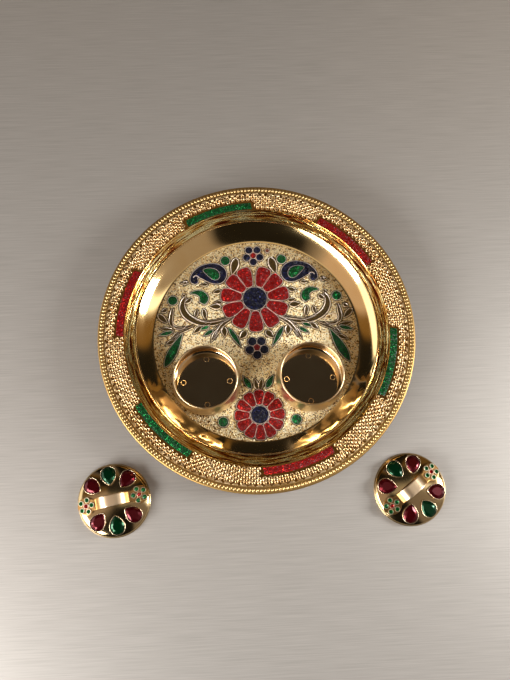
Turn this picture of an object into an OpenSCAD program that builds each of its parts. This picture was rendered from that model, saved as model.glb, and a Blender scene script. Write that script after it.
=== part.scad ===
// Puja thali with two fixed katoris and their two jewelled lids.
// Lengths are in millimetres. Z = 0 is the table, the origin is under the middle of the plate,
// and +Y runs up the floral design, away from the person who uses the plate.
// The plate is one spun and rolled sheet. A stamped and chased panel lies on its floor, and
// enamel fills the cells between the panel's raised wires. The lids lie on the table.

/* [Plate] */

// Diameter over the rim's rolled edge
thali_d = 250; // [244:1:280]
// Height of the rim above the table
thali_h = 23; // [18:0.5:30]
// Thickness of the sheet
sheet_t = 1.2; // [0.8:0.1:1.6]
// Width of the flat rim, from its inner step to the edge
rim_w = 20.6; // [19.5:0.1:24]
// Width of the plain shoulder inside the rim
shoulder_w = 9.4; // [7:0.2:11]
// How far the shoulder's inner ridge lies below the rim
shoulder_drop = 3.4; // [2:0.2:5]
// Width of the curved wall, seen from above
wall_run = 11; // [8:0.5:13]
// Width of the half-round ring that carries the milled beads
bead_w = 3.2; // [2:0.2:4]
// Depth of the rim's rolled edge
edge_drop = 3; // [2:0.5:5]
// Number of knurled rows round the rim
row_count = 5; // [3:1:6]
// Height of the knurled rows
row_h = 0.5; // [0.3:0.1:0.6]

/* [Rim enamel] */

// Number of enamel bars round the rim
bar_count = 6; // [2:2:10]
// Length of a bar in degrees
bar_angle = 30; // [15:1:34]
// Width of a bar
bar_w = 6.6; // [4:0.2:8]
// Depth of a bar's recess
bar_depth = 0.5; // [0.3:0.1:0.6]

/* [Floor panel] */

// Thickness of the stamped panel
panel_t = 0.7; // [0.5:0.1:1]
// Gap between the panel's edge and the foot of the wall
panel_gap = 0.4; // [0.2:0.1:1]
// Height of the raised wires and leaves
relief_h = 0.9; // [0.6:0.1:1.4]
// Width of a raised wire
wire_w = 0.7; // [0.4:0.05:0.8]
// How far the enamel lies below the wires
enamel_dip = 0.1; // [0.05:0.05:0.3]

/* [Katoris] */

// How far the wall leans in from the belly to the lip, on each side
cup_lean = 2.25; // [1:0.25:4]
// Height from the panel to the lip
cup_h = 21.8; // [16:0.2:26]
// Thickness of the wall
cup_wall = 0.9; // [0.6:0.1:1.2]
// Width of the curve between the flat bottom and the belly
cup_turn_w = 6.1; // [4:0.1:6.4]
// Height at which the bottom's curve meets the wall
cup_turn_h = 4.6; // [3:0.2:6]
// Diameter of the lip's rolled bead
cup_bead_d = 1.3; // [1:0.1:1.6]
// Direction of a cup from the plate's centre, below the cross axis, in degrees
cup_angle = 40; // [37:1:42]
// Distance from the cup's widest part to the panel's edge
cup_edge_gap = 2.3; // [1.5:0.1:3]
// Diameter of a weld mark
weld_d = 4.6; // [3:0.2:6]
// Distance from a weld mark to the edge of the flat bottom
weld_edge_gap = 0.5; // [0.2:0.1:3]

/* [Lids] */

// How far the lid reaches past the cup's lip, on each side
lid_overhang = 2.75; // [2.5:0.05:5]
// Height of the dome above its skirt
lid_rise = 6.4; // [5:0.2:9]
// Height of the upright skirt
skirt_h = 2.4; // [2:0.2:5]
// Thickness of the sheet
lid_t = 0.9; // [0.6:0.1:1.2]
// Diameter of the rolled edge's bead
lid_bead_d = 1.6; // [1.2:0.1:2]
// Play between the ring under the lid and the inside of the cup's lip
ring_play = 0.4; // [0.2:0.1:0.8]
// Thickness of the ring under the lid
ring_t = 0.8; // [0.6:0.1:1.2]
// How far the ring stays above the table
ring_lift = 0.8; // [0.4:0.1:1.5]
// Gap between a lid and the plate, on the table
lid_gap = 16; // [5:1:40]
// How far the lids lie above the table, so that the plate alone carries the part
lid_lift = 0.1; // [0.05:0.05:0.5]
// Direction of the left lid from the plate's centre, in degrees
lid_left_angle = 227.4; // [220:0.2:250]
// Direction of the right lid from the plate's centre, in degrees
lid_right_angle = 312.4; // [290:0.1:320]
// Turn of the left lid's strap, in degrees
lid_left_turn = 10.5; // [0:0.5:90]
// Turn of the right lid's strap, in degrees
lid_right_turn = 37; // [0:0.5:90]

/* [Strap handles] */

// Width of the strap
strap_w = 8.7; // [6:0.1:10]
// Thickness of the strap
strap_t = 1; // [0.8:0.1:1.4]
// Distance from the lid's edge to the middle of a round pad
pad_inset = 8; // [7.8:0.1:8.5]
// How much narrower a pad is than the eighth part of the dome that it has
pad_gap = 1.6; // [1.1:0.1:2]
// How full the arch is: 1 makes an even wave, and more makes its top flat and its ends steep
arch_power = 1.8; // [1:0.1:1.8]
// Free height under the strap
finger_gap = 5.2; // [4.8:0.1:8]

/* [Stones] */

// Distance from the lid's edge to the middle of a drop stone
drop_inset = 9.4; // [9.1:0.1:9.9]
// Distance from a bezel to the lid's edge
bezel_edge_gap = 1.9; // [1.7:0.1:3]
// Gap between neighbouring bezels
bezel_gap = 2; // [1.8:0.1:5]
// Height of a drop stone's upright girdle
drop_girdle_h = 1.2; // [0.8:0.1:1.6]
// Height of a drop stone's crown above the girdle
drop_crown_h = 1.6; // [1:0.1:2.5]
// Thickness of a bezel's wall
bezel_w = 0.9; // [0.6:0.1:1]
// Height of a bezel above the dome
bezel_h = 1.5; // [1.2:0.1:1.8]
// Thickness of the bezel's bottom under its stone
bezel_seat = 0.4; // [0.3:0.1:0.6]
// Height of a small round stone
round_h = 1.4; // [1:0.1:2]
// Gap between a floret's middle stone and the stones round it
round_gap = 1; // [0.8:0.1:1.6]
// Distance from a floret's outer stones to the edge of the pad
round_edge_gap = 1; // [0.6:0.1:1.4]

/* [Hidden] */

gold = [0.83, 0.66, 0.36];
pale_gold = [0.80, 0.71, 0.52];
red = [0.55, 0.05, 0.07];
green = [0.04, 0.35, 0.18];
blue = [0.06, 0.08, 0.25];
brown = [0.35, 0.15, 0.05];

// One overrun for every cut, and the play between a filling and its cell
overrun = 1;
fill_play = 0.04;
solder_gap = 0.05;

// Plate
thali_r = thali_d / 2;
rim_in_r = thali_r - rim_w;
ridge_r = rim_in_r - shoulder_w;
floor_r = ridge_r - wall_run;
edge_round_r = 1.4;
rim_fall = 0.8;
groove_w = 1.2;
groove_depth = 0.5;
edge_land_w = 1.4;
bead_out_r = thali_r - edge_land_w;
bead_mid_r = bead_out_r - bead_w / 2;
groove_out_r = bead_out_r - bead_w;
band_out_r = groove_out_r - groove_w;
bar_margin = 0.6;
row_root = 0.2;
row_in_r = rim_in_r + bar_margin;
row_pitch = (band_out_r - row_in_r) / (row_count + 1 / 4);
row_fill_share = 0.9;

// Panel and the places of the design, as shares of the panel's radius
panel_r = floor_r - panel_gap;
cup_half_gap_share = 0.1662;
panel_top = sheet_t + panel_t;
fill_h = relief_h - enamel_dip;

bloom_place_share = 0.407;
bloom_eye_share = 0.118;
bloom_petal_in_share = 0.134;
bloom_petal_out_share = 0.339;
bloom_petal_w_share = 0.124;
// Petals of the bloom, in degrees to either side of its upper middle line, and one below
bloom_petal_turns = [20, 49, 81, 114, 146];

blossom_place_share = -0.748;
blossom_eye_share = 0.080;
blossom_petal_in_share = 0.096;
blossom_petal_out_share = 0.237;
blossom_petal_w_share = 0.079;
blossom_petal_count = 12;

// Half widths of a petal along its length, from the eye to the round end
petal_width_shares = [0.40, 0.56, 0.70, 0.83, 0.94, 1, 0.99, 0.86, 0.56];
petal_length_shares = [0, 0.14, 0.28, 0.42, 0.56, 0.70, 0.82, 0.92, 0.98];

floret_turns = [54, 126, 198, 270, 342];
top_floret_place_share = 0.861;
top_floret_ring_share = 0.071;
top_floret_petal_share = 0.031;
top_floret_eye_share = 0.029;
mid_floret_place_share = -0.091;
mid_floret_ring_share = 0.078;
mid_floret_petal_share = 0.036;
mid_floret_eye_share = 0.031;

spot_r_share = 0.046;
spot_shares = [[0.282, 0.813], [0.812, 0.413], [0.347, -0.805]];
brown_spot_r_share = 0.019;
brown_spot_shares = [0.144, 0.908];

paisley_shares = [
    [0.281, 0.627], [0.313, 0.588], [0.359, 0.571], [0.419, 0.580], [0.474, 0.606],
    [0.522, 0.636], [0.556, 0.652], [0.566, 0.636], [0.556, 0.608], [0.562, 0.588], [0.586, 0.576],
    [0.620, 0.586], [0.637, 0.620], [0.628, 0.668], [0.592, 0.720], [0.538, 0.762],
    [0.473, 0.784], [0.407, 0.790], [0.341, 0.776], [0.290, 0.735], [0.269, 0.675]
];
paisley_drop_shares = [
    [0.347, 0.632], [0.376, 0.613], [0.412, 0.620], [0.450, 0.653], [0.486, 0.690],
    [0.512, 0.724], [0.457, 0.742], [0.402, 0.736], [0.357, 0.712], [0.339, 0.670]
];

// Strokes: points of the middle line with the width there, as shares
comma_shares = [
    [0.632, 0.483, 0.008], [0.567, 0.491, 0.034], [0.510, 0.462, 0.050],
    [0.493, 0.416, 0.064], [0.514, 0.376, 0.036]
];
vine_shares = [
    [0.298, 0.216, 0.014], [0.389, 0.184, 0.022], [0.484, 0.167, 0.028],
    [0.574, 0.177, 0.036], [0.653, 0.225, 0.042], [0.707, 0.287, 0.040],
    [0.725, 0.356, 0.034], [0.703, 0.417, 0.026], [0.668, 0.458, 0.016]
];
stem_shares = [
    [0.251, 0.203, 0.012], [0.305, 0.161, 0.020], [0.359, 0.108, 0.018], [0.407, 0.048, 0.010]
];
tendril_shares = [
    [0.816, 0.335, 0.010], [0.829, 0.270, 0.018], [0.834, 0.215, 0.022], [0.825, 0.165, 0.012]
];

// Leaves: both ends and the width, as shares. The first point is the stalk end
side_leaf_shares = [0.896, -0.256, 0.718, 0.078, 0.084];
bloom_leaf_shares = [0.266, 0.114, 0.151, -0.084, 0.044];
blossom_leaf_shares = [0.073, -0.493, 0.146, -0.370, 0.052];
spray_shares = [
    [0.458, 0.141, 0.548, 0.106, 0.034], [0.423, 0.096, 0.514, 0.043, 0.036],
    [0.813, 0.098, 0.950, 0.062, 0.038]
];
gold_leaf_shares = [
    [0.182, 0.868, 0.213, 0.670, 0.056], [0.667, 0.608, 0.730, 0.603, 0.030],
    [0.352, 0.320, 0.462, 0.333, 0.038], [0.335, 0.492, 0.420, 0.508, 0.030],
    [0.342, 0.376, 0.428, 0.389, 0.026], [0.873, 0.329, 0.933, 0.293, 0.030],
    [0.849, 0.173, 0.957, 0.270, 0.034], [0.484, 0.557, 0.562, 0.542, 0.018],
    [0.330, 0.022, 0.292, -0.060, 0.028], [0.640, 0.060, 0.600, 0.004, 0.026]
];
loop_shares = [0.745, 0.172, 0.062, 0.052];
finger_shares = [
    [0.014, -0.502, 0.006, -0.418, 0.020], [0.040, -0.500, 0.044, -0.424, 0.018]
];

// Cups: as large as fits between the panel's edge and the design's middle part
cup_r = ((panel_r - cup_edge_gap) * cos(cup_angle) - cup_half_gap_share * panel_r)
    / (1 + cos(cup_angle));
cup_belly_d = 2 * cup_r;
cup_lip_d = cup_belly_d - 2 * cup_lean;
cup_flat_d = cup_belly_d - 2 * cup_turn_w;
weld_circle_d = cup_flat_d - weld_d - 2 * weld_edge_gap;
cup_place_r = panel_r - cup_edge_gap - cup_r;
cup_place = [cup_place_r * cos(cup_angle), -cup_place_r * sin(cup_angle)];
cup_in_lip_r = cup_lip_d / 2 - cup_wall - (cup_bead_d - cup_wall) / 2;
weld_depth = 0.25;
weld_ring_w = 0.8;

// Lids: eight places share the dome's circumference, two pads and six bezels
lid_d = cup_lip_d + 2 * lid_overhang;
lid_r = lid_d / 2;
lid_bead_proud = 0.4;
shell_r = lid_r - lid_bead_proud;
lid_top = skirt_h + lid_rise;
ring_r = cup_in_lip_r - ring_play;
lid_place_r = thali_r + lid_gap + lid_r;
station_angle = 45;
pad_place_r = lid_r - pad_inset;
drop_place_r = lid_r - drop_inset;
pad_d = 2 * pad_place_r * sin(station_angle / 2) - pad_gap;
drop_l = 2 * (drop_inset - bezel_w - bezel_edge_gap);
drop_w = 2 * drop_place_r * sin(station_angle / 2) - 2 * bezel_w - bezel_gap;
round_d = (pad_d - 2 * round_gap - 2 * round_edge_gap) / 3;
floret_r = round_d + round_gap;
pad_z = dome_z(pad_place_r);
pad_tilt = atan(dome_slope(pad_place_r));
pad_reach = pad_d / 2;
arch_half = pad_place_r - pad_reach * cos(pad_tilt);
arch_steps = 12;
strap_peak = lid_top + finger_gap;
bezel_depth = 1.4;
drop_play = 0.05;
drop_table_share = 0.55;
// A drop's outline: how fast it narrows to its point, and the widest that this comes to
teardrop_power = 0.6;
teardrop_peak = 0.841;
red_stations = [for (i = [1 : 2 : 7]) i * station_angle];
green_stations = [2 * station_angle, 6 * station_angle];
stone_sides = 28;

// Height of the lid's outer surface and its fall per millimetre, at a distance from its axis
function dome_z(r) = skirt_h + lid_rise * sqrt(1 - pow(r / shell_r, 2));
function dome_slope(r) = lid_rise * r / (shell_r * shell_r * sqrt(1 - pow(r / shell_r, 2)));

function unit(v) = v / norm(v);
function left_of(v) = [-v.y, v.x];
function reversed(p) = [for (i = [len(p) - 1 : -1 : 0]) p[i]];
function direction(p, i) = unit(p[min(i + 1, len(p) - 1)] - p[max(i - 1, 0)]);

// A line moved sideways, and a strip of sheet between a line and its moved copy
function beside(p, d) = [for (i = [0 : len(p) - 1]) p[i] + left_of(direction(p, i)) * d];
function strip(p, d) = concat(p, reversed(beside(p, d)));

// A closed outline, anticlockwise, grown by d. Sharp tips are kept from running away
function grown(p, d) = [
    for (i = [0 : len(p) - 1])
        let (
            n = len(p),
            a = unit(p[i] - p[(i + n - 1) % n]),
            b = unit(p[(i + 1) % n] - p[i]),
            m = unit(a + b),
            c = max(m * a, 0.6)
        )
        p[i] - left_of(m) * d / c
];

// A closed outline with its corners cut once, which rounds it
function rounded(p) = [
    for (i = [0 : len(p) - 1], s = [0.25, 0.75])
        p[i] * (1 - s) + p[(i + 1) % len(p)] * s
];

// A stroke round a middle line of points and widths, and the same line made finer
function finer(p) = concat([p[0]], [
    for (i = [0 : len(p) - 2], s = [0.25, 0.75]) p[i] * (1 - s) + p[i + 1] * s
], [p[len(p) - 1]]);
function flat_pt(q) = [q.x, q.y];
function stroke_points(q) =
    let (p = [for (s = q) flat_pt(s)])
    concat(
        [for (i = [0 : len(p) - 1]) p[i] - left_of(direction(p, i)) * q[i].z / 2],
        [for (i = [len(p) - 1 : -1 : 0]) p[i] + left_of(direction(p, i)) * q[i].z / 2]
    );

// A leaf between two points, widest before its middle
function leaf_points(a, b, w, n = 9) =
    let (v = b - a, side = left_of(unit(v)))
    concat(
        [for (i = [0 : n]) let (t = i / n) a + v * t - side * w / 2 * leaf_half(t)],
        [for (i = [n - 1 : -1 : 1]) let (t = i / n) a + v * t + side * w / 2 * leaf_half(t)]
    );
function leaf_half(t) = sin(180 * pow(t, 0.75));

// A petal along +X from its inner end to its round outer end
function petal_points(r_in, r_out, w) =
    let (
        l = r_out - r_in,
        n = len(petal_length_shares),
        low = [
            for (i = [0 : n - 1])
                [r_in + l * petal_length_shares[i], -w / 2 * petal_width_shares[i]]
        ],
        high = [for (i = [n - 1 : -1 : 0]) [low[i].x, -low[i].y]]
    )
    concat(low, high);

// A drop with its point towards -X
function drop_points(l, w) = [
    for (i = [0 : stone_sides - 1])
        let (a = 360 * i / stone_sides)
        [
            -l / 2 * cos(a),
            -w / 2 * sin(a) * pow(sin(a / 2), teardrop_power) / teardrop_peak
        ]
];

function oval_points(l, w, n = 24) = [
    for (i = [0 : n - 1]) [l * cos(360 * i / n), w * sin(360 * i / n)]
];

// The plate

function thali_line() = concat(
    [[0, sheet_t], [floor_r - sheet_t, sheet_t]],
    [
        for (a = [0 : 9 : 90])
            [
                floor_r + wall_run * sin(a),
                sheet_t + (thali_h - shoulder_drop - sheet_t) * (1 - cos(a))
            ]
    ],
    [
        [rim_in_r - rim_fall, thali_h - shoulder_drop / 2],
        [rim_in_r, thali_h - rim_fall],
        [thali_r - edge_round_r, thali_h - rim_fall / 4]
    ],
    [
        for (a = [60 : -15 : 0])
            [thali_r - edge_round_r + edge_round_r * cos(a),
             thali_h - edge_round_r + edge_round_r * sin(a) - rim_fall / 4]
    ],
    [[thali_r, thali_h - edge_drop]]
);

module thali_sheet() {
    rotate_extrude($fn = 120)
        polygon(strip(thali_line(), -sheet_t));
}

// Half-round rings that stand on the sheet: the ridge of the shoulder and the beads' ring
module round_ring(r, z, d) {
    rotate_extrude($fn = 120)
        translate([r, z])
            circle(d = d, $fn = 24);
}

function bar_angle_of(i) = 45 + i * 360 / bar_count;
bar_in_r = rim_in_r + bar_margin;
bar_top = thali_h - rim_fall - bar_depth / 4;

module bar(i, play, z, h) {
    a = bar_angle - 2 * play / bar_in_r * 180 / PI;
    rotate([0, 0, bar_angle_of(i) - a / 2])
        rotate_extrude(angle = a, $fn = 120)
            translate([bar_in_r + play, z])
                square([bar_w - 2 * play, h]);
}

// The plain field round a bar, through the knurled rows
module bar_field(i) {
    a = bar_angle + 2 * bar_margin / bar_in_r * 180 / PI;
    rotate([0, 0, bar_angle_of(i) - a / 2])
        rotate_extrude(angle = a, $fn = 120)
            translate([rim_in_r, thali_h - rim_fall - overrun])
                square([2 * bar_margin + bar_w, rim_fall + overrun + bar_w]);
}

function rim_z(r) =
    thali_h - rim_fall
        + (rim_fall - rim_fall / 4) * (r - rim_in_r) / (rim_w - edge_round_r);

// The knurled rows, as low ridges with their feet in the sheet
module knurled_rows() {
    difference() {
        for (k = [0 : row_count - 1])
            let (
                r0 = row_in_r + k * row_pitch,
                r1 = r0 + row_pitch * row_fill_share,
                mid = (r0 + r1) / 2
            )
            rotate_extrude($fn = 120)
                polygon([
                    [r0, rim_z(r0) - row_root], [r1, rim_z(r1) - row_root],
                    [mid, rim_z(mid) + row_h]
                ]);
        for (i = [0 : bar_count - 1])
            bar_field(i);
    }
}

module thali() {
    color(gold)
    difference() {
        union() {
            thali_sheet();
            knurled_rows();
            round_ring(ridge_r + bead_w / 4, thali_h - shoulder_drop, bead_w / 2);
            round_ring(bead_mid_r, thali_h - rim_fall / 2, bead_w * 3 / 4);
        }
        for (i = [0 : bar_count - 1])
            bar(i, 0, bar_top - bar_depth, bar_depth + overrun);
        rotate_extrude($fn = 120)
            translate([band_out_r, thali_h - rim_fall / 2 - groove_depth])
                square([groove_w, groove_depth + overrun]);
    }
}

module bars_red() {
    color(red)
    for (i = [0 : 2 : bar_count - 1])
        bar(i, fill_play, bar_top - bar_depth, bar_depth);
}

module bars_green() {
    color(green)
    for (i = [1 : 2 : bar_count - 1])
        bar(i, fill_play, bar_top - bar_depth, bar_depth);
}

// Flat outlines of the design's cells, grown by d

module both_sides() {
    children();
    mirror([1, 0, 0])
        children();
}

module bloom_petals_flat(d) {
    translate([0, bloom_place_share * panel_r])
        for (s = [-1, 1], t = bloom_petal_turns)
            rotate(90 + s * t)
                polygon(grown(petal_points(
                    bloom_petal_in_share * panel_r, bloom_petal_out_share * panel_r,
                    bloom_petal_w_share * panel_r), d));
    translate([0, bloom_place_share * panel_r])
        rotate(270)
            polygon(grown(petal_points(
                bloom_petal_in_share * panel_r, bloom_petal_out_share * panel_r,
                bloom_petal_w_share * panel_r), d));
}

module bloom_eye_flat(d) {
    translate([0, bloom_place_share * panel_r])
        circle(r = bloom_eye_share * panel_r + d, $fn = 48);
}

module blossom_petals_flat(d) {
    translate([0, blossom_place_share * panel_r])
        for (i = [0 : blossom_petal_count - 1])
            rotate(i * 360 / blossom_petal_count)
                polygon(grown(petal_points(
                    blossom_petal_in_share * panel_r, blossom_petal_out_share * panel_r,
                    blossom_petal_w_share * panel_r), d));
}

module blossom_eye_flat(d) {
    translate([0, blossom_place_share * panel_r])
        circle(r = blossom_eye_share * panel_r + d, $fn = 48);
}

module floret_petals_flat(place, ring, petal, d) {
    translate([0, place * panel_r])
        for (t = floret_turns)
            rotate(t)
                translate([ring * panel_r, 0])
                    circle(r = petal * panel_r + d, $fn = 32);
}

module floret_eye_flat(place, eye, d) {
    translate([0, place * panel_r])
        circle(r = eye * panel_r + d, $fn = 32);
}

module spots_flat(d) {
    for (p = spot_shares, s = [-1, 1])
        translate([s * p.x * panel_r, p.y * panel_r])
            circle(r = spot_r_share * panel_r + d, $fn = 32);
}

module brown_spot_flat(d) {
    translate(brown_spot_shares * panel_r)
        circle(r = brown_spot_r_share * panel_r + d, $fn = 32);
}

module paisley_flat(d) {
    polygon(grown(rounded(paisley_shares * panel_r), d));
}

module paisley_drop_flat(d) {
    polygon(grown(rounded(paisley_drop_shares * panel_r), d));
}

module leaf_flat(s, d) {
    p = s * panel_r;
    polygon(grown(leaf_points([p[0], p[1]], [p[2], p[3]], p[4]), d));
}

module comma_flat(d) {
    polygon(grown(stroke_points(finer(comma_shares * panel_r)), d));
}

module sprays_flat(d) {
    for (s = spray_shares)
        leaf_flat(s, d);
}

// Every enamel cell of the design
module cells_flat(d) {
    bloom_petals_flat(d);
    bloom_eye_flat(d);
    blossom_petals_flat(d);
    blossom_eye_flat(d);
    floret_petals_flat(top_floret_place_share, top_floret_ring_share, top_floret_petal_share, d);
    floret_eye_flat(top_floret_place_share, top_floret_eye_share, d);
    floret_petals_flat(mid_floret_place_share, mid_floret_ring_share, mid_floret_petal_share, d);
    floret_eye_flat(mid_floret_place_share, mid_floret_eye_share, d);
    spots_flat(d);
    brown_spot_flat(d);
    both_sides() {
        leaf_flat(side_leaf_shares, d);
        leaf_flat(bloom_leaf_shares, d);
        leaf_flat(blossom_leaf_shares, d);
        comma_flat(d);
        sprays_flat(d);
    }
}

// Chased leaves, vines and strokes that stay bare metal
module bare_relief_flat() {
    both_sides() {
        for (s = gold_leaf_shares)
            leaf_flat(s, 0);
        for (s = finger_shares)
            leaf_flat(s, 0);
        polygon(stroke_points(finer(vine_shares * panel_r)));
        polygon(stroke_points(finer(stem_shares * panel_r)));
        polygon(stroke_points(finer(tendril_shares * panel_r)));
        translate([loop_shares[0], loop_shares[1]] * panel_r)
            difference() {
                polygon(oval_points(
                    loop_shares[2] * panel_r + wire_w, loop_shares[3] * panel_r + wire_w));
                polygon(oval_points(loop_shares[2] * panel_r, loop_shares[3] * panel_r));
            }
    }
}

// The raised metal, seen from above: wires round the cells, and the bare relief
module relief_flat() {
    difference() {
        union() {
            cells_flat(wire_w);
            bare_relief_flat();
        }
        cells_flat(0);
    }
    both_sides() {
        difference() {
            paisley_flat(wire_w);
            paisley_flat(0);
        }
        difference() {
            paisley_drop_flat(wire_w);
            paisley_drop_flat(0);
        }
    }
}

module floor_panel() {
    color(pale_gold)
    translate([0, 0, sheet_t]) {
        cylinder(r = panel_r, h = panel_t, $fn = 120);
        linear_extrude(panel_t + relief_h)
            relief_flat();
    }
}

module fill() {
    translate([0, 0, panel_top])
        linear_extrude(fill_h)
            children();
}

module bloom_petals() {
    color(red)
    fill()
        bloom_petals_flat(-fill_play);
}

module bloom_eye() {
    color(blue)
    fill()
        bloom_eye_flat(-fill_play);
}

module blossom_petals() {
    color(red)
    fill()
        blossom_petals_flat(-fill_play);
}

module blossom_eye() {
    color(blue)
    fill()
        blossom_eye_flat(-fill_play);
}

module top_floret_petals() {
    color(blue)
    fill()
        floret_petals_flat(
            top_floret_place_share, top_floret_ring_share, top_floret_petal_share, -fill_play);
}

module top_floret_eye() {
    color(red)
    fill()
        floret_eye_flat(top_floret_place_share, top_floret_eye_share, -fill_play);
}

module mid_floret_petals() {
    color(blue)
    fill()
        floret_petals_flat(
            mid_floret_place_share, mid_floret_ring_share, mid_floret_petal_share, -fill_play);
}

module mid_floret_eye() {
    color(red)
    fill()
        floret_eye_flat(mid_floret_place_share, mid_floret_eye_share, -fill_play);
}

module paisley_right() {
    color(blue)
    fill()
        difference() {
            paisley_flat(-fill_play);
            paisley_drop_flat(wire_w + fill_play);
        }
}

module paisley_left() {
    mirror([1, 0, 0])
        paisley_right();
}

module paisley_drop_right() {
    color(green)
    fill()
        paisley_drop_flat(-fill_play);
}

module paisley_drop_left() {
    mirror([1, 0, 0])
        paisley_drop_right();
}

module spots_green() {
    color(green)
    fill()
        spots_flat(-fill_play);
}

module spot_brown() {
    color(brown)
    fill()
        brown_spot_flat(-fill_play);
}

module leaves_side() {
    color(green)
    fill()
        both_sides()
            leaf_flat(side_leaf_shares, -fill_play);
}

module leaves_bloom() {
    color(green)
    fill()
        both_sides()
            leaf_flat(bloom_leaf_shares, -fill_play);
}

module leaves_blossom() {
    color(green)
    fill()
        both_sides()
            leaf_flat(blossom_leaf_shares, -fill_play);
}

module commas() {
    color(green)
    fill()
        both_sides()
            comma_flat(-fill_play);
}

module sprays() {
    color(green)
    fill()
        both_sides()
            sprays_flat(-fill_play);
}

// The katoris

function cup_line() = concat(
    [[0, 0]],
    [
        for (a = [0 : 15 : 90])
            [
                cup_flat_d / 2 + (cup_r - cup_flat_d / 2) * sin(a),
                cup_turn_h * (1 - cos(a))
            ]
    ],
    [[cup_lip_d / 2 - (cup_bead_d - cup_wall) / 2, cup_h - cup_bead_d / 2]]
);

module katori() {
    difference() {
        union() {
            rotate_extrude($fn = 96)
                polygon(strip(cup_line(), cup_wall));
            rotate_extrude($fn = 96)
                translate([cup_lip_d / 2 - cup_bead_d / 2, cup_h - cup_bead_d / 2])
                    circle(d = cup_bead_d, $fn = 24);
        }
        for (i = [0 : 3])
            rotate([0, 0, i * 90])
                translate([weld_circle_d / 2, 0, cup_wall - weld_depth])
                    difference() {
                        cylinder(d = weld_d, h = weld_depth + overrun, $fn = 32);
                        cylinder(d = weld_d - 2 * weld_ring_w, h = weld_depth, $fn = 32);
                    }
    }
}

module katori_right() {
    color(gold)
    translate([cup_place.x, cup_place.y, panel_top])
        katori();
}

module katori_left() {
    mirror([1, 0, 0])
        katori_right();
}

// The lids, each drawn standing at the origin with its strap along X

module lid_shell() {
    rotate_extrude($fn = 96)
        polygon(concat(
            [[shell_r, 0]],
            [for (a = [0 : 6 : 84]) [shell_r * cos(a), skirt_h + lid_rise * sin(a)]],
            [[0, lid_top], [0, lid_top - lid_t]],
            [
                for (a = [84 : -6 : 0])
                    [(shell_r - lid_t) * cos(a), skirt_h + (lid_rise - lid_t) * sin(a)]
            ],
            [[shell_r - lid_t, 0]]
        ));
    rotate_extrude($fn = 96)
        translate([lid_r - lid_bead_d / 2, lid_bead_d / 2])
            circle(d = lid_bead_d, $fn = 24);
    rotate_extrude($fn = 96)
        translate([ring_r - ring_t, ring_lift])
            square([ring_t, dome_z(ring_r) - lid_t / 2 - ring_lift]);
}

// The solid under the lid's outer surface, with room for solder
module dome_block() {
    rotate_extrude($fn = 96)
        polygon(concat(
            [[0, 0], [shell_r + solder_gap, 0]],
            [
                for (a = [0 : 6 : 84])
                    [
                        (shell_r + solder_gap) * cos(a),
                        skirt_h + (lid_rise + solder_gap) * sin(a)
                    ]
            ],
            [[0, lid_top + solder_gap]]
        ));
}

// A place on the dome, at a direction and a distance: tilted to lie flat there
module on_dome(a, r) {
    rotate([0, 0, a])
        translate([r, 0, dome_z(r)])
            rotate([0, atan(dome_slope(r)), 0])
                children();
}

module bezel() {
    difference() {
        translate([0, 0, -bezel_depth])
            linear_extrude(bezel_depth + bezel_h)
                polygon(grown(drop_points(drop_l, drop_w), bezel_w));
        translate([0, 0, bezel_seat])
            linear_extrude(bezel_h)
                polygon(drop_points(drop_l, drop_w));
    }
}

module bezels() {
    difference() {
        for (a = concat(red_stations, green_stations))
            on_dome(a, drop_place_r)
                bezel();
        dome_block();
    }
}

// A drop stone: an upright girdle, a sloping crown and a flat table
module drop_stone() {
    girdle = grown(drop_points(drop_l, drop_w), -drop_play);
    n = len(girdle);
    z0 = bezel_seat;
    z1 = z0 + drop_girdle_h;
    z2 = z1 + drop_crown_h * 2 / 3;
    z3 = z1 + drop_crown_h;
    mid = (1 + drop_table_share) / 2;
    rings = concat(
        [for (p = girdle) [p.x, p.y, z0]],
        [for (p = girdle) [p.x, p.y, z1]],
        [for (p = girdle) [p.x * mid, p.y * mid, z2]],
        [for (p = girdle) [p.x * drop_table_share, p.y * drop_table_share, z3]]
    );
    sides = [
        for (k = [0 : 2], i = [0 : n - 1])
            let (j = (i + 1) % n)
            [k * n + i, (k + 1) * n + i, (k + 1) * n + j, k * n + j]
    ];
    polyhedron(rings, concat(
        [[for (i = [0 : n - 1]) i]],
        sides,
        [[for (i = [n - 1 : -1 : 0]) 3 * n + i]]
    ));
}

module drop_stones(stations) {
    for (a = stations)
        on_dome(a, drop_place_r)
            drop_stone();
}

// How high the arch stands at a share of the way from its middle to its end
function arch_share(u) = (1 + cos(180 * pow(u, arch_power))) / 2;

// The strap's under side: a flat pad on the dome, the arch, and the other pad
function arch_points() =
    let (
        foot_z = pad_z + solder_gap + (pad_place_r - arch_half) * tan(pad_tilt),
        tip_x = pad_place_r + pad_reach * cos(pad_tilt),
        tip_z = pad_z + solder_gap - pad_reach * sin(pad_tilt)
    )
    concat(
        [[tip_x, tip_z]],
        [
            for (i = [arch_steps : -1 : -arch_steps])
                [
                    arch_half * i / arch_steps,
                    foot_z + (strap_peak - foot_z) * arch_share(abs(i) / arch_steps)
                ]
        ],
        [[-tip_x, tip_z]]
    );

module strap() {
    intersection() {
        rotate([90, 0, 0])
            linear_extrude(pad_d, center = true)
                polygon(strip(arch_points(), -strap_t));
        linear_extrude(strap_peak + 2 * strap_t)
            union() {
                square([2 * pad_place_r, strap_w], center = true);
                for (s = [-1, 1])
                    translate([s * pad_place_r, 0])
                        circle(d = pad_d, $fn = 48);
            }
    }
}

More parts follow.
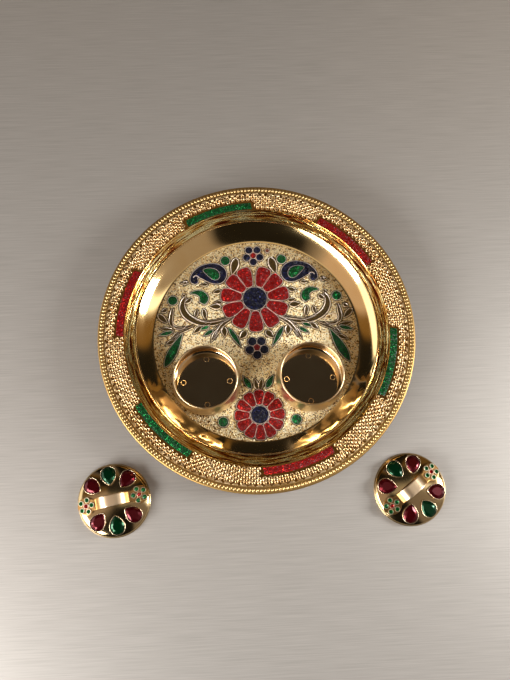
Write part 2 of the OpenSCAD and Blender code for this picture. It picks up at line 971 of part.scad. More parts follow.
// A small round stone with a domed top, standing on the pad
module round_stone() {
    rotate_extrude($fn = 24)
        polygon(concat(
            [[0, 0], [round_d / 2, 0]],
            [
                for (a = [0 : 18 : 72])
                    [round_d / 2 * cos(a), round_h / 2 + round_h / 2 * sin(a)]
            ],
            [[0, round_h]]
        ));
}

module on_pads() {
    for (a = [0, 180])
        on_dome(a, pad_place_r)
            translate([0, 0, solder_gap + strap_t + solder_gap])
                children();
}

module floret_outer() {
    on_pads()
        for (i = [0 : 4])
            rotate([0, 0, 36 + i * 72])
                translate([floret_r, 0, 0])
                    round_stone();
}

module floret_inner() {
    on_pads()
        round_stone();
}

module on_table(direction_angle, turn) {
    translate([
        lid_place_r * cos(direction_angle), lid_place_r * sin(direction_angle), lid_lift
    ])
        rotate([0, 0, turn])
            children();
}

module at_left() {
    on_table(lid_left_angle, lid_left_turn)
        children();
}

module at_right() {
    on_table(lid_right_angle, lid_right_turn)
        children();
}

module lid_left() {
    color(gold)
    at_left()
        lid_shell();
}

module strap_left() {
    color(gold)
    at_left()
        strap();
}

module bezels_left() {
    color(gold)
    at_left()
        bezels();
}

module rubies_left() {
    color(red)
    at_left()
        drop_stones(red_stations);
}

module emeralds_left() {
    color(green)
    at_left()
        drop_stones(green_stations);
}

module floret_green_left() {
    color(green)
    at_left()
        floret_outer();
}

module floret_red_left() {
    color(red)
    at_left()
        floret_inner();
}

module lid_right() {
    color(gold)
    at_right()
        lid_shell();
}

module strap_right() {
    color(gold)
    at_right()
        strap();
}

module bezels_right() {
    color(gold)
    at_right()
        bezels();
}

module rubies_right() {
    color(red)
    at_right()
        drop_stones(red_stations);
}

module emeralds_right() {
    color(green)
    at_right()
        drop_stones(green_stations);
}

module floret_green_right() {
    color(green)
    at_right()
        floret_outer();
}

module floret_red_right() {
    color(red)
    at_right()
        floret_inner();
}

thali();
floor_panel();
bars_red();
bars_green();
katori_left();
katori_right();
bloom_petals();
bloom_eye();
blossom_petals();
blossom_eye();
top_floret_petals();
top_floret_eye();
mid_floret_petals();
mid_floret_eye();
paisley_left();
paisley_right();
paisley_drop_left();
paisley_drop_right();
spots_green();
spot_brown();
leaves_side();
leaves_bloom();
leaves_blossom();
commas();
sprays();
lid_left();
strap_left();
bezels_left();
rubies_left();
emeralds_left();
floret_green_left();
floret_red_left();
lid_right();
strap_right();
bezels_right();
rubies_right();
emeralds_right();
floret_green_right();
floret_red_right();
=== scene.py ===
import math

import bmesh
import bpy
from mathutils import Matrix, Vector


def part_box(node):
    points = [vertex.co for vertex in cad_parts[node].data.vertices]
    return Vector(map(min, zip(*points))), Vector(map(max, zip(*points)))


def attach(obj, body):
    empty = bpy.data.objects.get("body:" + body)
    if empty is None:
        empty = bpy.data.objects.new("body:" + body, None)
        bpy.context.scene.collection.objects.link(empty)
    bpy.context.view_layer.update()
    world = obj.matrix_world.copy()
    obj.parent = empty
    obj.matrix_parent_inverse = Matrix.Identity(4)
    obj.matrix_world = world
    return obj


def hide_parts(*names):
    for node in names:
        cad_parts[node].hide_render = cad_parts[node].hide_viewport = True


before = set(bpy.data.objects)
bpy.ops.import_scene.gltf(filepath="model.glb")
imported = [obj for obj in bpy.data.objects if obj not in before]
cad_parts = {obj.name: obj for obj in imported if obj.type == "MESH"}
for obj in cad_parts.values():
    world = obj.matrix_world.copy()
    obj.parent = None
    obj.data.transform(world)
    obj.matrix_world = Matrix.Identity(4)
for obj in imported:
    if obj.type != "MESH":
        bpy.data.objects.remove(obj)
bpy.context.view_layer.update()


# The table under the thali: a plain sheet of pale brushed steel, with the plate in the
# middle of it. The view looks almost straight down on it from the table's near side.

MM = 0.001
PICTURE_WIDTH = 510
FOCAL_PIXELS = 700
SENSOR_WIDTH = 36
VIEW_TILT = math.radians(14.531)
VIEW_TURN = math.radians(-6.844)
VIEW_ROLL = math.radians(4.679)
VIEW_DISTANCE = 572.2 * MM
VIEW_TARGET = Vector((-1.3, -0.7, 0)) * MM
TABLE_HALF_WIDTH = 1.6
BRUSH_LINE_LENGTH = 38.462 * MM
BRUSH_LINE_WIDTH = 0.76923 * MM


def linear(code):
    """The linear colour of an sRGB hex code."""
    channels = [int(code[i:i + 2], 16) / 255 for i in (1, 3, 5)]
    return [c / 12.92 if c <= 0.04045 else ((c + 0.055) / 1.055) ** 2.4 for c in channels] + [1]


def feed(tree, node, inputs):
    """Gives inputs, by name or in order, a value, a link, or another node's first output."""
    for name, value in inputs.items() if isinstance(inputs, dict) else enumerate(inputs):
        if isinstance(value, bpy.types.Node):
            value = next(socket for socket in value.outputs if socket.enabled)
        if isinstance(value, bpy.types.NodeSocket):
            tree.links.new(value, node.inputs[name])
        elif value is not None:
            node.inputs[name].default_value = value


def add(tree, kind, inputs=(), **settings):
    """One node with its settings and its inputs."""
    node = tree.nodes.new(kind)
    for name, value in settings.items():
        setattr(node, name, value)
    feed(tree, node, inputs)
    return node


def finish_of(name):
    """A new material with its tree, its shader, and the place on the object."""
    material = bpy.data.materials.new(name)
    material.use_nodes = True
    tree = material.node_tree
    place = add(tree, "ShaderNodeTexCoord").outputs["Object"]
    return material, tree, tree.nodes["Principled BSDF"], place


def linked(name, data):
    """A new object in the scene."""
    made = bpy.data.objects.new(name, data)
    bpy.context.scene.collection.objects.link(made)
    return made


def place_camera():
    data = bpy.data.cameras.new("view")
    data.sensor_fit = "HORIZONTAL"
    data.sensor_width = SENSOR_WIDTH
    data.lens = FOCAL_PIXELS / PICTURE_WIDTH * SENSOR_WIDTH
    data.clip_start = 10 * MM
    turn = (
        Matrix.Rotation(VIEW_TURN, 4, "Z")
        @ Matrix.Rotation(VIEW_TILT, 4, "X")
        @ Matrix.Rotation(VIEW_ROLL, 4, "Z"))
    camera = linked("view", data)
    eye = VIEW_TARGET + VIEW_DISTANCE * (turn @ Vector((0, 0, 1)))
    camera.matrix_world = Matrix.Translation(eye) @ turn
    bpy.context.scene.camera = camera


def brushed_steel():
    # Brushed stainless steel: satin, with lines drawn from side to side, so that it goes
    # dark towards the far end of the room and pale towards the near one. The real lines
    # are too fine to show, and are drawn coarser
    material, tree, shader, place = finish_of("table_brushed_steel")
    drawn = add(tree, "ShaderNodeMapping", {
        "Vector": place, "Scale": (1 / BRUSH_LINE_LENGTH, 1 / BRUSH_LINE_WIDTH, 1.0)})
    lines = add(tree, "ShaderNodeTexNoise", {"Vector": drawn, "Scale": 1.0, "Detail": 2.0})
    tone = add(tree, "ShaderNodeMix", {
        "Factor": lines, "A": linear("#a8a39c"), "B": linear("#cbc6bf")}, data_type="RGBA")
    feed(tree, shader, {"Base Color": tone, "Metallic": 0.6, "Roughness": 0.42})
    return material


def lay_table():
    half = TABLE_HALF_WIDTH
    mesh = bpy.data.meshes.new("table")
    corners = [(-half, -half, 0), (half, -half, 0), (half, half, 0), (-half, half, 0)]
    mesh.from_pydata(corners, [], [(0, 1, 2, 3)])
    mesh.materials.append(brushed_steel())
    linked("table", mesh)


bpy.context.scene.view_settings.view_transform = "Standard"
place_camera()
lay_table()


# The room that the polished metal mirrors: two windows, pale walls, a dark far end with
# wood in it, a grey ceiling, and a dark place overhead. It is painted on the world as a
# fan of tones, and lit by a softbox in each window.

WINDOW, WALL, CEILING, LIT_WALL = "#ffffff", "#a0958f", "#736c6f", "#cdb9b0"
WOOD, DARK, OVERHEAD, NEAR_CEILING = "#80643a", "#1f1d1a", "#35322f", "#d2c8ba"
# From each angle on, in degrees anticlockwise from the right, the tone that stands there
ROOM_FAN = [
    (-180, WOOD), (-175, WOOD), (-169, LIT_WALL), (-134, LIT_WALL), (-129, WALL), (-117, DARK),
    (-69, DARK), (-63, WALL), (-26, WALL), (-20, WINDOW), (-13, WINDOW), (-8, WOOD),
    (5, WOOD), (9, DARK), (26, DARK), (32, WOOD), (49, WOOD), (52, WALL), (55, WOOD),
    (68, WOOD), (73, DARK), (99, DARK), (104, WALL), (108, WOOD), (122, WOOD),
    (126, DARK), (137, DARK), (142, CEILING), (147, WOOD), (153, DARK), (171, DARK),
    (176, WOOD)]
FAN_MIDDLE_AHEAD = 0.2
OVERHEAD_REACH = 0.25
OVERHEAD_EDGE = 0.1 * OVERHEAD_REACH
NEAR_CEILING_FROM, NEAR_CEILING_TO = 0.16, 0.06
FAR_WINDOW_FROM, FAR_WINDOW_TO = -0.82, -0.85
WINDOW_CONTRAST = 6.0
ROOM_STRENGTH = 1.05


def lay_tones(elements, stops):
    """Sets the tones along a colour ramp, from places and hex codes in order."""
    elements.remove(elements[1])
    elements[0].position = stops[0][0]
    elements[0].color = linear(stops[0][1])
    for place, code in stops[1:]:
        elements.new(place).color = linear(code)


def paint_room():
    world = bpy.data.worlds.new("room")
    bpy.context.scene.world = world
    world.use_nodes = True
    tree = world.node_tree
    sides = add(tree, "ShaderNodeSeparateXYZ", {
        "Vector": add(tree, "ShaderNodeTexCoord").outputs["Generated"]}).outputs
    ahead = add(tree, "ShaderNodeMath", (sides["Y"], FAN_MIDDLE_AHEAD), operation="SUBTRACT")
    angle = add(tree, "ShaderNodeMath", (ahead, sides["X"]), operation="ARCTAN2")
    round_fan = add(tree, "ShaderNodeMapRange", (angle, -math.pi, math.pi))
    fan = add(tree, "ShaderNodeValToRGB", {"Fac": round_fan})
    lay_tones(fan.color_ramp.elements, [((start + 180) / 360, tone) for start, tone in ROOM_FAN])
    level = add(tree, "ShaderNodeCombineXYZ", {"X": sides["X"], "Y": ahead})
    reach = add(tree, "ShaderNodeVectorMath", (level,), operation="LENGTH")
    above = add(tree, "ShaderNodeMapRange", (
        reach, OVERHEAD_REACH + OVERHEAD_EDGE, OVERHEAD_REACH - OVERHEAD_EDGE))
    nearer = add(tree, "ShaderNodeMapRange", (sides["Y"], NEAR_CEILING_FROM, NEAR_CEILING_TO))
    over = add(tree, "ShaderNodeMix", {
        "Factor": nearer, "A": linear(OVERHEAD), "B": linear(NEAR_CEILING)}, data_type="RGBA")
    tone = add(tree, "ShaderNodeMix", {"Factor": above, "A": fan, "B": over}, data_type="RGBA")
    beyond = add(tree, "ShaderNodeMapRange", (sides["X"], FAR_WINDOW_FROM, FAR_WINDOW_TO))
    seen = add(tree, "ShaderNodeMix", {
        "Factor": beyond, "A": tone, "B": linear(WINDOW)}, data_type="RGBA")
    # Only the windows are near to white, and they are brighter than what they light
    green = add(tree, "ShaderNodeSeparateColor", {"Color": seen}).outputs["Green"]
    bright = add(tree, "ShaderNodeMath", (green, WINDOW_CONTRAST), operation="POWER")
    strength = add(tree, "ShaderNodeMath", (bright, ROOM_STRENGTH), operation="ADD")
    feed(tree, tree.nodes["Background"], {"Color": seen, "Strength": strength})


def hang_softbox(name, place, aim, width, height, watts):
    data = bpy.data.lights.new(name, "AREA")
    data.shape = "RECTANGLE"
    data.size = width
    data.size_y = height
    data.energy = watts
    lamp = linked(name, data)
    lamp.location = place
    lamp.rotation_euler = (Vector(aim) - Vector(place)).to_track_quat("-Z", "Y").to_euler()


paint_room()
hang_softbox(
    "window_right", place=(0.82, -0.08, 0.42), aim=(0.0, -0.1, 0), width=0.25, height=0.3,
    watts=9)
hang_softbox(
    "window_left", place=(-0.71, -0.55, 0.45), aim=(0.0, -0.08, 0), width=0.8, height=0.3,
    watts=14.5)


# The plate: one round of steel sheet, spun over a former into a floor, a curved wall, a
# plain shoulder and a flat rim with a rolled edge, then plated with gold and buffed.
# Everything else of the thali is fixed to it.

PLATE_LOW, PLATE_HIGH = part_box("thali")
PLATE_RADIUS = (PLATE_HIGH.x - PLATE_LOW.x) / 2
RIM_TOP = 23 * MM
SHEET = 1.2 * MM
RIM_WIDTH = 20.6 * MM
SHOULDER_WIDTH = 9.4 * MM
SHOULDER_DROP = 3.4 * MM
WALL_RUN = 11 * MM
RIDGE_ROUND = 0.75 * MM
RIM_FALL = 0.8 * MM
EDGE_ROUND = 1.2 * MM
EDGE_DROP = 3 * MM
GROOVE_RADIUS = 119.8 * MM
GROOVE_DEPTH = 0.5 * MM
BAND_RADIUS = 119.3 * MM
RIM_INNER_RADIUS = PLATE_RADIUS - RIM_WIDTH
RIDGE_RADIUS = RIM_INNER_RADIUS - SHOULDER_WIDTH
FLOOR_RADIUS = RIDGE_RADIUS - WALL_RUN
ROUND_STEPS = 360
SEAM_RADIUS = 100 * MM
WALL_LEAN = math.radians(42)
FOOT_LEAN = math.radians(8)
DENT_TURN = math.radians(130)
DENT_SPREAD = 11.111 * MM
POLISH_CLOUD = 16.667 * MM
STREAK_TURNS = 5.0
STREAK_WIDTH = 1.3 * MM
STREAK_DEPTH = 0.7 * MM


def named_inputs(name, kinds):
    """A node tree for meshes, with one named input for each size that it is given."""
    tree = bpy.data.node_groups.new(name, "GeometryNodeTree")
    tree.interface.new_socket("Geometry", in_out="INPUT", socket_type="NodeSocketGeometry")
    for label, kind in kinds.items():
        tree.interface.new_socket(label, in_out="INPUT", socket_type="NodeSocket" + kind)
    tree.interface.new_socket("Finish", in_out="INPUT", socket_type="NodeSocketMaterial")
    tree.interface.new_socket("Geometry", in_out="OUTPUT", socket_type="NodeSocketGeometry")
    return tree, add(tree, "NodeGroupInput").outputs


def closed(tree, geometry, finish):
    """Ends a tree: real geometry, its material, and the way out."""
    real = add(tree, "GeometryNodeRealizeInstances", {"Geometry": geometry})
    coated = add(tree, "GeometryNodeSetMaterial", {"Geometry": real, "Material": finish})
    add(tree, "NodeGroupOutput", {"Geometry": coated})
    return tree


def made_with(tree, name, start, sizes, turn_edges=None):
    """A plain object that the tree makes from a starting mesh and the sizes."""
    made = linked(name, start)
    modifier = made.modifiers.new(tree.name, "NODES")
    modifier.node_group = tree
    for item in tree.interface.items_tree:
        if item.in_out == "INPUT" and item.name in sizes:
            modifier[item.identifier] = sizes[item.name]
    seen = made.evaluated_get(bpy.context.evaluated_depsgraph_get())
    mesh = bpy.data.meshes.new_from_object(seen)
    made.modifiers.remove(modifier)
    made.data = mesh
    mesh.name = name
    if turn_edges:
        smooth(mesh, turn_edges)
    return made


def settled(shape, mesh, turn_edges=None):
    """The shape as a mesh with its faces outward, smooth where it turns gently."""
    bmesh.ops.recalc_face_normals(shape, faces=shape.faces)
    shape.to_mesh(mesh)
    shape.free()
    if turn_edges:
        mesh.shade_smooth()
        mesh.set_sharp_from_angle(angle=math.radians(turn_edges))
    return mesh


def smooth(mesh, turn_edges):
    """Joins what touches in a mesh, and settles it."""
    shape = bmesh.new()
    shape.from_mesh(mesh)
    bmesh.ops.remove_doubles(shape, verts=shape.verts, dist=0.001 * MM)
    settled(shape, mesh, turn_edges)


def line_mesh(name, loops):
    """A mesh of edges only, round one or more closed lines of points."""
    points = []
    edges = []
    for loop in loops:
        first, count = len(points), len(loop)
        edges += [(first + i, first + (i + 1) % count) for i in range(count)]
        points += [tuple(p) for p in loop]
    mesh = bpy.data.meshes.new(name)
    mesh.from_pydata(points, edges, [])
    return mesh


def spinning_tree():
    tree, given = named_inputs("spun_sheet", {"Steps": "Int", "Seam radius": "Float"})
    profile = add(tree, "GeometryNodeMeshToCurve", {"Mesh": given["Geometry"]})
    path = add(tree, "GeometryNodeCurvePrimitiveCircle", {
        "Resolution": given["Steps"], "Radius": given["Seam radius"]})
    swept = add(tree, "GeometryNodeCurveToMesh", {"Curve": path, "Profile Curve": profile})
    return closed(tree, swept, given["Finish"])


SPUN_SHEET = spinning_tree()


def spun(name, lines, finish, turn_edges=38, centre=(0, 0, 0)):
    """Closed lines of radius and height, spun about the upright axis at a centre."""
    profile = line_mesh(name, [[(r - SEAM_RADIUS, -z, 0) for r, z in line] for line in lines])
    sizes = {"Steps": ROUND_STEPS, "Seam radius": SEAM_RADIUS, "Finish": finish}
    made = made_with(SPUN_SHEET, name, profile, sizes)
    made.data.transform(Matrix.Translation(centre))
    smooth(made.data, turn_edges)
    return made


def arc(centre, width, height, first, last, steps):
    """Points of an upright oval's arc between two angles in degrees, both ends kept."""
    turns = [math.radians(first + (last - first) * i / steps) for i in range(steps + 1)]
    return [Vector(centre) + Vector((width * math.cos(t), height * math.sin(t))) for t in turns]


def plate_line():
    """The upper side of the sheet from the middle out to the rolled edge."""
    ridge_level = RIM_TOP - SHOULDER_DROP
    band_level = RIM_TOP - 0.42 * RIM_FALL
    edge_centre = (PLATE_RADIUS - EDGE_ROUND, RIM_TOP - EDGE_ROUND - RIM_FALL / 4)
    wall = arc((FLOOR_RADIUS, ridge_level), WALL_RUN, ridge_level - SHEET, -90, 0, 30)
    ridge_centre = (RIDGE_RADIUS + RIDGE_ROUND, ridge_level)
    ridge = arc(ridge_centre, RIDGE_ROUND, RIDGE_ROUND, 127.5, -7.5, 6)
    shoulder_and_rim = [
        (RIDGE_RADIUS + 2.4 * MM, ridge_level + 0.35 * MM),
        (RIM_INNER_RADIUS - 4.2 * MM, RIM_TOP - 0.62 * SHOULDER_DROP),
        (RIM_INNER_RADIUS - RIM_FALL, RIM_TOP - SHOULDER_DROP / 2),
        (RIM_INNER_RADIUS - 0.1 * MM, RIM_TOP - RIM_FALL - 0.25 * MM),
        (RIM_INNER_RADIUS + 0.35 * MM, RIM_TOP - RIM_FALL),
        (GROOVE_RADIUS - 0.7 * MM, band_level),
        (GROOVE_RADIUS - 0.4 * MM, band_level - GROOVE_DEPTH),
        (GROOVE_RADIUS + 0.5 * MM, band_level - GROOVE_DEPTH),
        (GROOVE_RADIUS + 0.8 * MM, band_level),
        (PLATE_RADIUS - EDGE_ROUND, RIM_TOP - RIM_FALL / 4)]
    edge = arc(edge_centre, EDGE_ROUND, EDGE_ROUND, 75, 0, 5)
    floor = [(0, SHEET), (FLOOR_RADIUS * 0.5, SHEET)]
    return floor + wall + ridge + shoulder_and_rim + edge + [(PLATE_RADIUS, RIM_TOP - EDGE_DROP)]


def beside(line, distance):
    """A line of radius and height moved to its left, and turned round."""
    moved = []
    for i, (r, z) in enumerate(line):
        before = Vector(line[max(i - 1, 0)])
        along = (Vector(line[min(i + 1, len(line) - 1)]) - before).normalized()
        moved.append((max(r - along.y * distance, 0), z + along.x * distance))
    return moved[::-1]


def wall_normal(tree, place, radius):
    """The buffed wall mirrors the room and not the floor: its surface leans in gently."""
    sides = add(tree, "ShaderNodeSeparateXYZ", {"Vector": place}).outputs
    up_wall = add(tree, "ShaderNodeMapRange", (radius, FLOOR_RADIUS, RIDGE_RADIUS))
    share = add(tree, "ShaderNodeMath", (up_wall, 0.9), operation="POWER")
    lean = add(tree, "ShaderNodeMath", (
        share, WALL_LEAN - FOOT_LEAN, FOOT_LEAN), operation="MULTIPLY_ADD")
    # Towards the near side the wall is a little uneven, and breaks up what it mirrors
    dents = add(tree, "ShaderNodeTexNoise", {
        "Vector": place, "Scale": 1 / DENT_SPREAD, "Detail": 1.0})
    near = add(tree, "ShaderNodeMapRange", (sides["Y"], -20 * MM, -60 * MM))
    off_middle = add(tree, "ShaderNodeMath", (sides["X"],), operation="ABSOLUTE")
    aside = add(tree, "ShaderNodeMapRange", (off_middle, 22 * MM, 48 * MM))
    there = add(tree, "ShaderNodeMath", (near, aside), operation="MULTIPLY")
    depth = add(tree, "ShaderNodeMath", (dents, 0.5), operation="SUBTRACT")
    dented = add(tree, "ShaderNodeMath", (depth, there), operation="MULTIPLY")
    angle = add(tree, "ShaderNodeMath", (sides["Y"], sides["X"]), operation="ARCTAN2")
    facing = add(tree, "ShaderNodeMath", (dented, DENT_TURN, angle), operation="MULTIPLY_ADD")
    level = add(tree, "ShaderNodeCombineXYZ", {
        "X": add(tree, "ShaderNodeMath", (facing,), operation="COSINE"),
        "Y": add(tree, "ShaderNodeMath", (facing,), operation="SINE")})
    flat = add(tree, "ShaderNodeMath", (lean,), operation="SINE")
    inward = add(tree, "ShaderNodeMath", (flat, -1.0), operation="MULTIPLY")
    leant = add(tree, "ShaderNodeVectorMath", {0: level, "Scale": inward}, operation="SCALE")
    up = add(tree, "ShaderNodeCombineXYZ", {
        "Z": add(tree, "ShaderNodeMath", (lean,), operation="COSINE")})
    return add(tree, "ShaderNodeVectorMath", (leant, up), operation="ADD")


def spun_gold():
    # The same gold over turned steel: a mirror on the wall and the edge. On the shoulder the
    # drawn-out lines of the spinning tool carry painted streaky reflections, dark red-brown to
    # near white, and the ground under the rim's points is painted dark, as painted shade
    # between them
    material, tree, shader, place = finish_of("gold_plate_spun")
    level = add(tree, "ShaderNodeVectorMath", (place, (1.0, 1.0, 0.0)), operation="MULTIPLY")
    radius = add(tree, "ShaderNodeVectorMath", (level,), operation="LENGTH")
    away = add(tree, "ShaderNodeVectorMath", (level,), operation="NORMALIZE")

    def band(low, high, edge):
        """One between two radii, and a soft edge to zero."""
        off = add(tree, "ShaderNodeMath", (radius, (low + high) / 2), operation="SUBTRACT")
        reach = add(tree, "ShaderNodeMath", (off,), operation="ABSOLUTE")
        half = (high - low) / 2
        return add(tree, "ShaderNodeMapRange", (reach, half + edge, half))

    shoulder = band(RIDGE_RADIUS + 1.6 * MM, RIM_INNER_RADIUS, 0.5 * MM)
    ground = band(RIM_INNER_RADIUS, BAND_RADIUS, 0.2 * MM)
    edge = band(BAND_RADIUS, PLATE_RADIUS + 1 * MM, 0.2 * MM)
    across = add(tree, "ShaderNodeCombineXYZ", {
        "Z": add(tree, "ShaderNodeMath", (radius, STREAK_WIDTH), operation="DIVIDE")})
    drawn = add(tree, "ShaderNodeVectorMath", (
        away, (STREAK_TURNS, STREAK_TURNS, 0.0), across), operation="MULTIPLY_ADD")
    lines = add(tree, "ShaderNodeTexNoise", {
        "Vector": drawn, "Scale": 1.0, "Detail": 3.0, "Roughness": 0.6})
    # Painted reflections: the streaks' own colour runs from dark red-brown to near white
    painted_streak_reflections = add(tree, "ShaderNodeValToRGB", {"Fac": lines})
    lay_tones(painted_streak_reflections.color_ramp.elements, [
        (0.38, "#6a260c"), (0.44, "#b87030"), (0.5, "#f6c464"), (0.57, "#fff0b0")])
    wear = add(tree, "ShaderNodeTexNoise", {
        "Vector": place, "Scale": 1 / POLISH_CLOUD, "Detail": 4.0})
    gold = add(tree, "ShaderNodeMix", {
        "Factor": wear, "A": linear("#e8bf7c"), "B": linear("#f4d69c")}, data_type="RGBA")
    tone = gold
    # The ground under the rim's points is painted dark, as painted shade between the rosettes
    painted_rim_shade, pale = linear("#7a5222"), linear("#b08c52")
    for share, there in ((shoulder, painted_streak_reflections), (ground, painted_rim_shade), (edge, pale)):
        tone = add(tree, "ShaderNodeMix", {
            "Factor": share, "A": tone, "B": there}, data_type="RGBA")
    lined = add(tree, "ShaderNodeMath", (shoulder, 0.1, 0.09), operation="MULTIPLY_ADD")
    rim = add(tree, "ShaderNodeMath", (ground, edge), operation="ADD")
    rough = add(tree, "ShaderNodeMath", (rim, 0.36, lined), operation="MULTIPLY_ADD")
    height = add(tree, "ShaderNodeMath", (lines, shoulder), operation="MULTIPLY")
    drawn_lines = add(tree, "ShaderNodeBump", {"Height": height, "Distance": STREAK_DEPTH})
    face = add(tree, "ShaderNodeNewGeometry").outputs["Normal"]
    outward = add(tree, "ShaderNodeVectorMath", (face, away), operation="DOT_PRODUCT")
    turned_in = add(tree, "ShaderNodeMath", (outward, -0.02), operation="LESS_THAN")
    within = add(tree, "ShaderNodeMath", (radius, RIDGE_RADIUS), operation="LESS_THAN")
    on_wall = add(tree, "ShaderNodeMath", (turned_in, within), operation="MULTIPLY")
    normal = add(tree, "ShaderNodeMix", {
        "Factor": on_wall, "A": drawn_lines, "B": wall_normal(tree, place, radius)},
        data_type="VECTOR")
    feed(tree, shader, {
        "Base Color": tone, "Roughness": rough, "Metallic": 1.0, "Normal": normal})
    return material


upper_line = plate_line()
plate = spun("plate_sheet", [upper_line + beside(upper_line, -SHEET)], spun_gold())
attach(plate, "plate")
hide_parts("thali")


# The bead line: a row of small half-round beads, rolled into the rim just inside its
# plain edge with a knurling wheel. The beads touch, and a dark line lies inside them.
# It is part of the plate's own metal.

BEAD_RING_RADIUS = 122.1 * MM
BEAD_PITCH = 2.85 * MM
BEAD_HALF_SIZE = (1.65 * MM, 1.12 * MM, 1.0 * MM)
BEAD_LEVEL = RIM_TOP - 0.62 * MM
SPINNING_WAVE = 13.333 * MM
WIPING_GRAIN = 1.11111 * MM
WORN_ROUGHNESS = 0.28


def facing_out(tree):
    """Turns each copy about its upright axis, so that its X points out from the middle."""
    return add(tree, "FunctionNodeAlignRotationToVector", {
        "Vector": add(tree, "GeometryNodeInputPosition")}, axis="X", pivot_axis="Z")


def bead_tree():
    tree, given = named_inputs("bead_line", {
        "Beads": "Int", "Ring radius": "Float", "Level": "Float", "Bead size": "Vector"})
    ring = add(tree, "GeometryNodeCurvePrimitiveCircle", {
        "Resolution": given["Beads"], "Radius": given["Ring radius"]})
    ball = add(tree, "GeometryNodeMeshUVSphere", {"Segments": 10, "Rings": 6, "Radius": 1.0})
    beads = add(tree, "GeometryNodeInstanceOnPoints", {
        "Points": ring, "Instance": add(tree, "GeometryNodeSetShadeSmooth", {"Geometry": ball}),
        "Rotation": facing_out(tree), "Scale": given["Bead size"]})
    lift = add(tree, "ShaderNodeCombineXYZ", {"Z": given["Level"]})
    raised = add(tree, "GeometryNodeTransform", {"Geometry": beads, "Translation": lift})
    return closed(tree, raised, given["Finish"])


def gold_plate(
        name, low, high, roughness, grain=0.0, waves=0.0, satin_and_sheen_above=None, painted_sheen=None):
    # Gold plate over buffed steel: mirror-like, warm, with the faint waves of the spinning
    # tool and a soft haze of wiping marks, which are drawn as coarse as they need to show
    material, tree, shader, place = finish_of(name)
    wear = add(tree, "ShaderNodeTexNoise", {
        "Vector": place, "Scale": 1 / POLISH_CLOUD, "Detail": 4.0})
    tone = add(tree, "ShaderNodeMix", {
        "Factor": wear, "A": linear(low), "B": linear(high)}, data_type="RGBA")
    haze = add(tree, "ShaderNodeMapRange", (wear, 0.0, 1.0, 0.7 * roughness, 1.3 * roughness))
    if satin_and_sheen_above is not None:
        # Above this level hands and cloths have worn the sheet to a satin, and the colour goes
        # to a paler tone, which on a strap is a painted highlight along the arch top
        height = add(tree, "ShaderNodeSeparateXYZ", {"Vector": place}).outputs["Z"]
        satin_and_sheen_to = satin_and_sheen_above + 2 * MM
        sheen_share = add(tree, "ShaderNodeMapRange", (height, satin_and_sheen_above, satin_and_sheen_to))
        haze = add(tree, "ShaderNodeMapRange", (
            height, satin_and_sheen_above, satin_and_sheen_to, roughness, max(WORN_ROUGHNESS, roughness)))
        tone = add(tree, "ShaderNodeMix", {
            "Factor": sheen_share, "A": tone, "B": linear(painted_sheen or high)}, data_type="RGBA")
    normal = None
    for spread, detail, depth in ((SPINNING_WAVE, 1.0, waves), (WIPING_GRAIN, 2.0, grain)):
        if depth:
            marks = add(tree, "ShaderNodeTexNoise", {
                "Vector": place, "Scale": 1 / spread, "Detail": detail})
            normal = add(tree, "ShaderNodeBump", {
                "Height": marks, "Distance": depth, "Normal": normal})
    feed(tree, shader, {
        "Base Color": tone, "Roughness": haze, "Metallic": 1.0, "Normal": normal})
    return material


CHASED_GOLD = gold_plate("gold_plate_chased", "#c8a468", "#e6c890", 0.34, grain=0.02 * MM)
beads = made_with(bead_tree(), "bead_line", bpy.data.meshes.new("bead_line"), {
    "Beads": round(math.tau * BEAD_RING_RADIUS / BEAD_PITCH), "Ring radius": BEAD_RING_RADIUS,
    "Level": BEAD_LEVEL, "Bead size": BEAD_HALF_SIZE, "Finish": CHASED_GOLD})
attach(beads, "plate")


# The rim's diaper: rows of small rough rosettes, knurled into the flat of the rim, with the
# ground between them painted dark as painted shade, and a border of little leaves outside.
# The rows stop at the enamel bars, which lie along the rim's inner edge.

DIAPER_INNER_RADIUS = 106.2 * MM
DIAPER_ROWS = 7
DIAPER_ROW_PITCH = 1.78 * MM
DIAPER_COLUMNS = 173
ROSETTE_RADIUS = 1.08 * MM
ROSETTE_HALF_WIDTH = 0.46 * MM
ROSETTE_HALF_HEIGHT = 0.5 * MM
BORDER_RADIUS = 118.3 * MM
BORDER_LEAVES = 122
BORDER_LEAF = (2.1 * MM, 5.2 * MM, 0.55 * MM)
SMALLEST, LARGEST = (0.85, 0.85, 0.8), (1.12, 1.12, 1.3)
BAR_COUNT = 6
BAR_FIRST_TURN = 45
BAR_FIELD_HALF_TURN = 15.8
BAR_FIELD_OUTER_RADIUS = 112.5 * MM


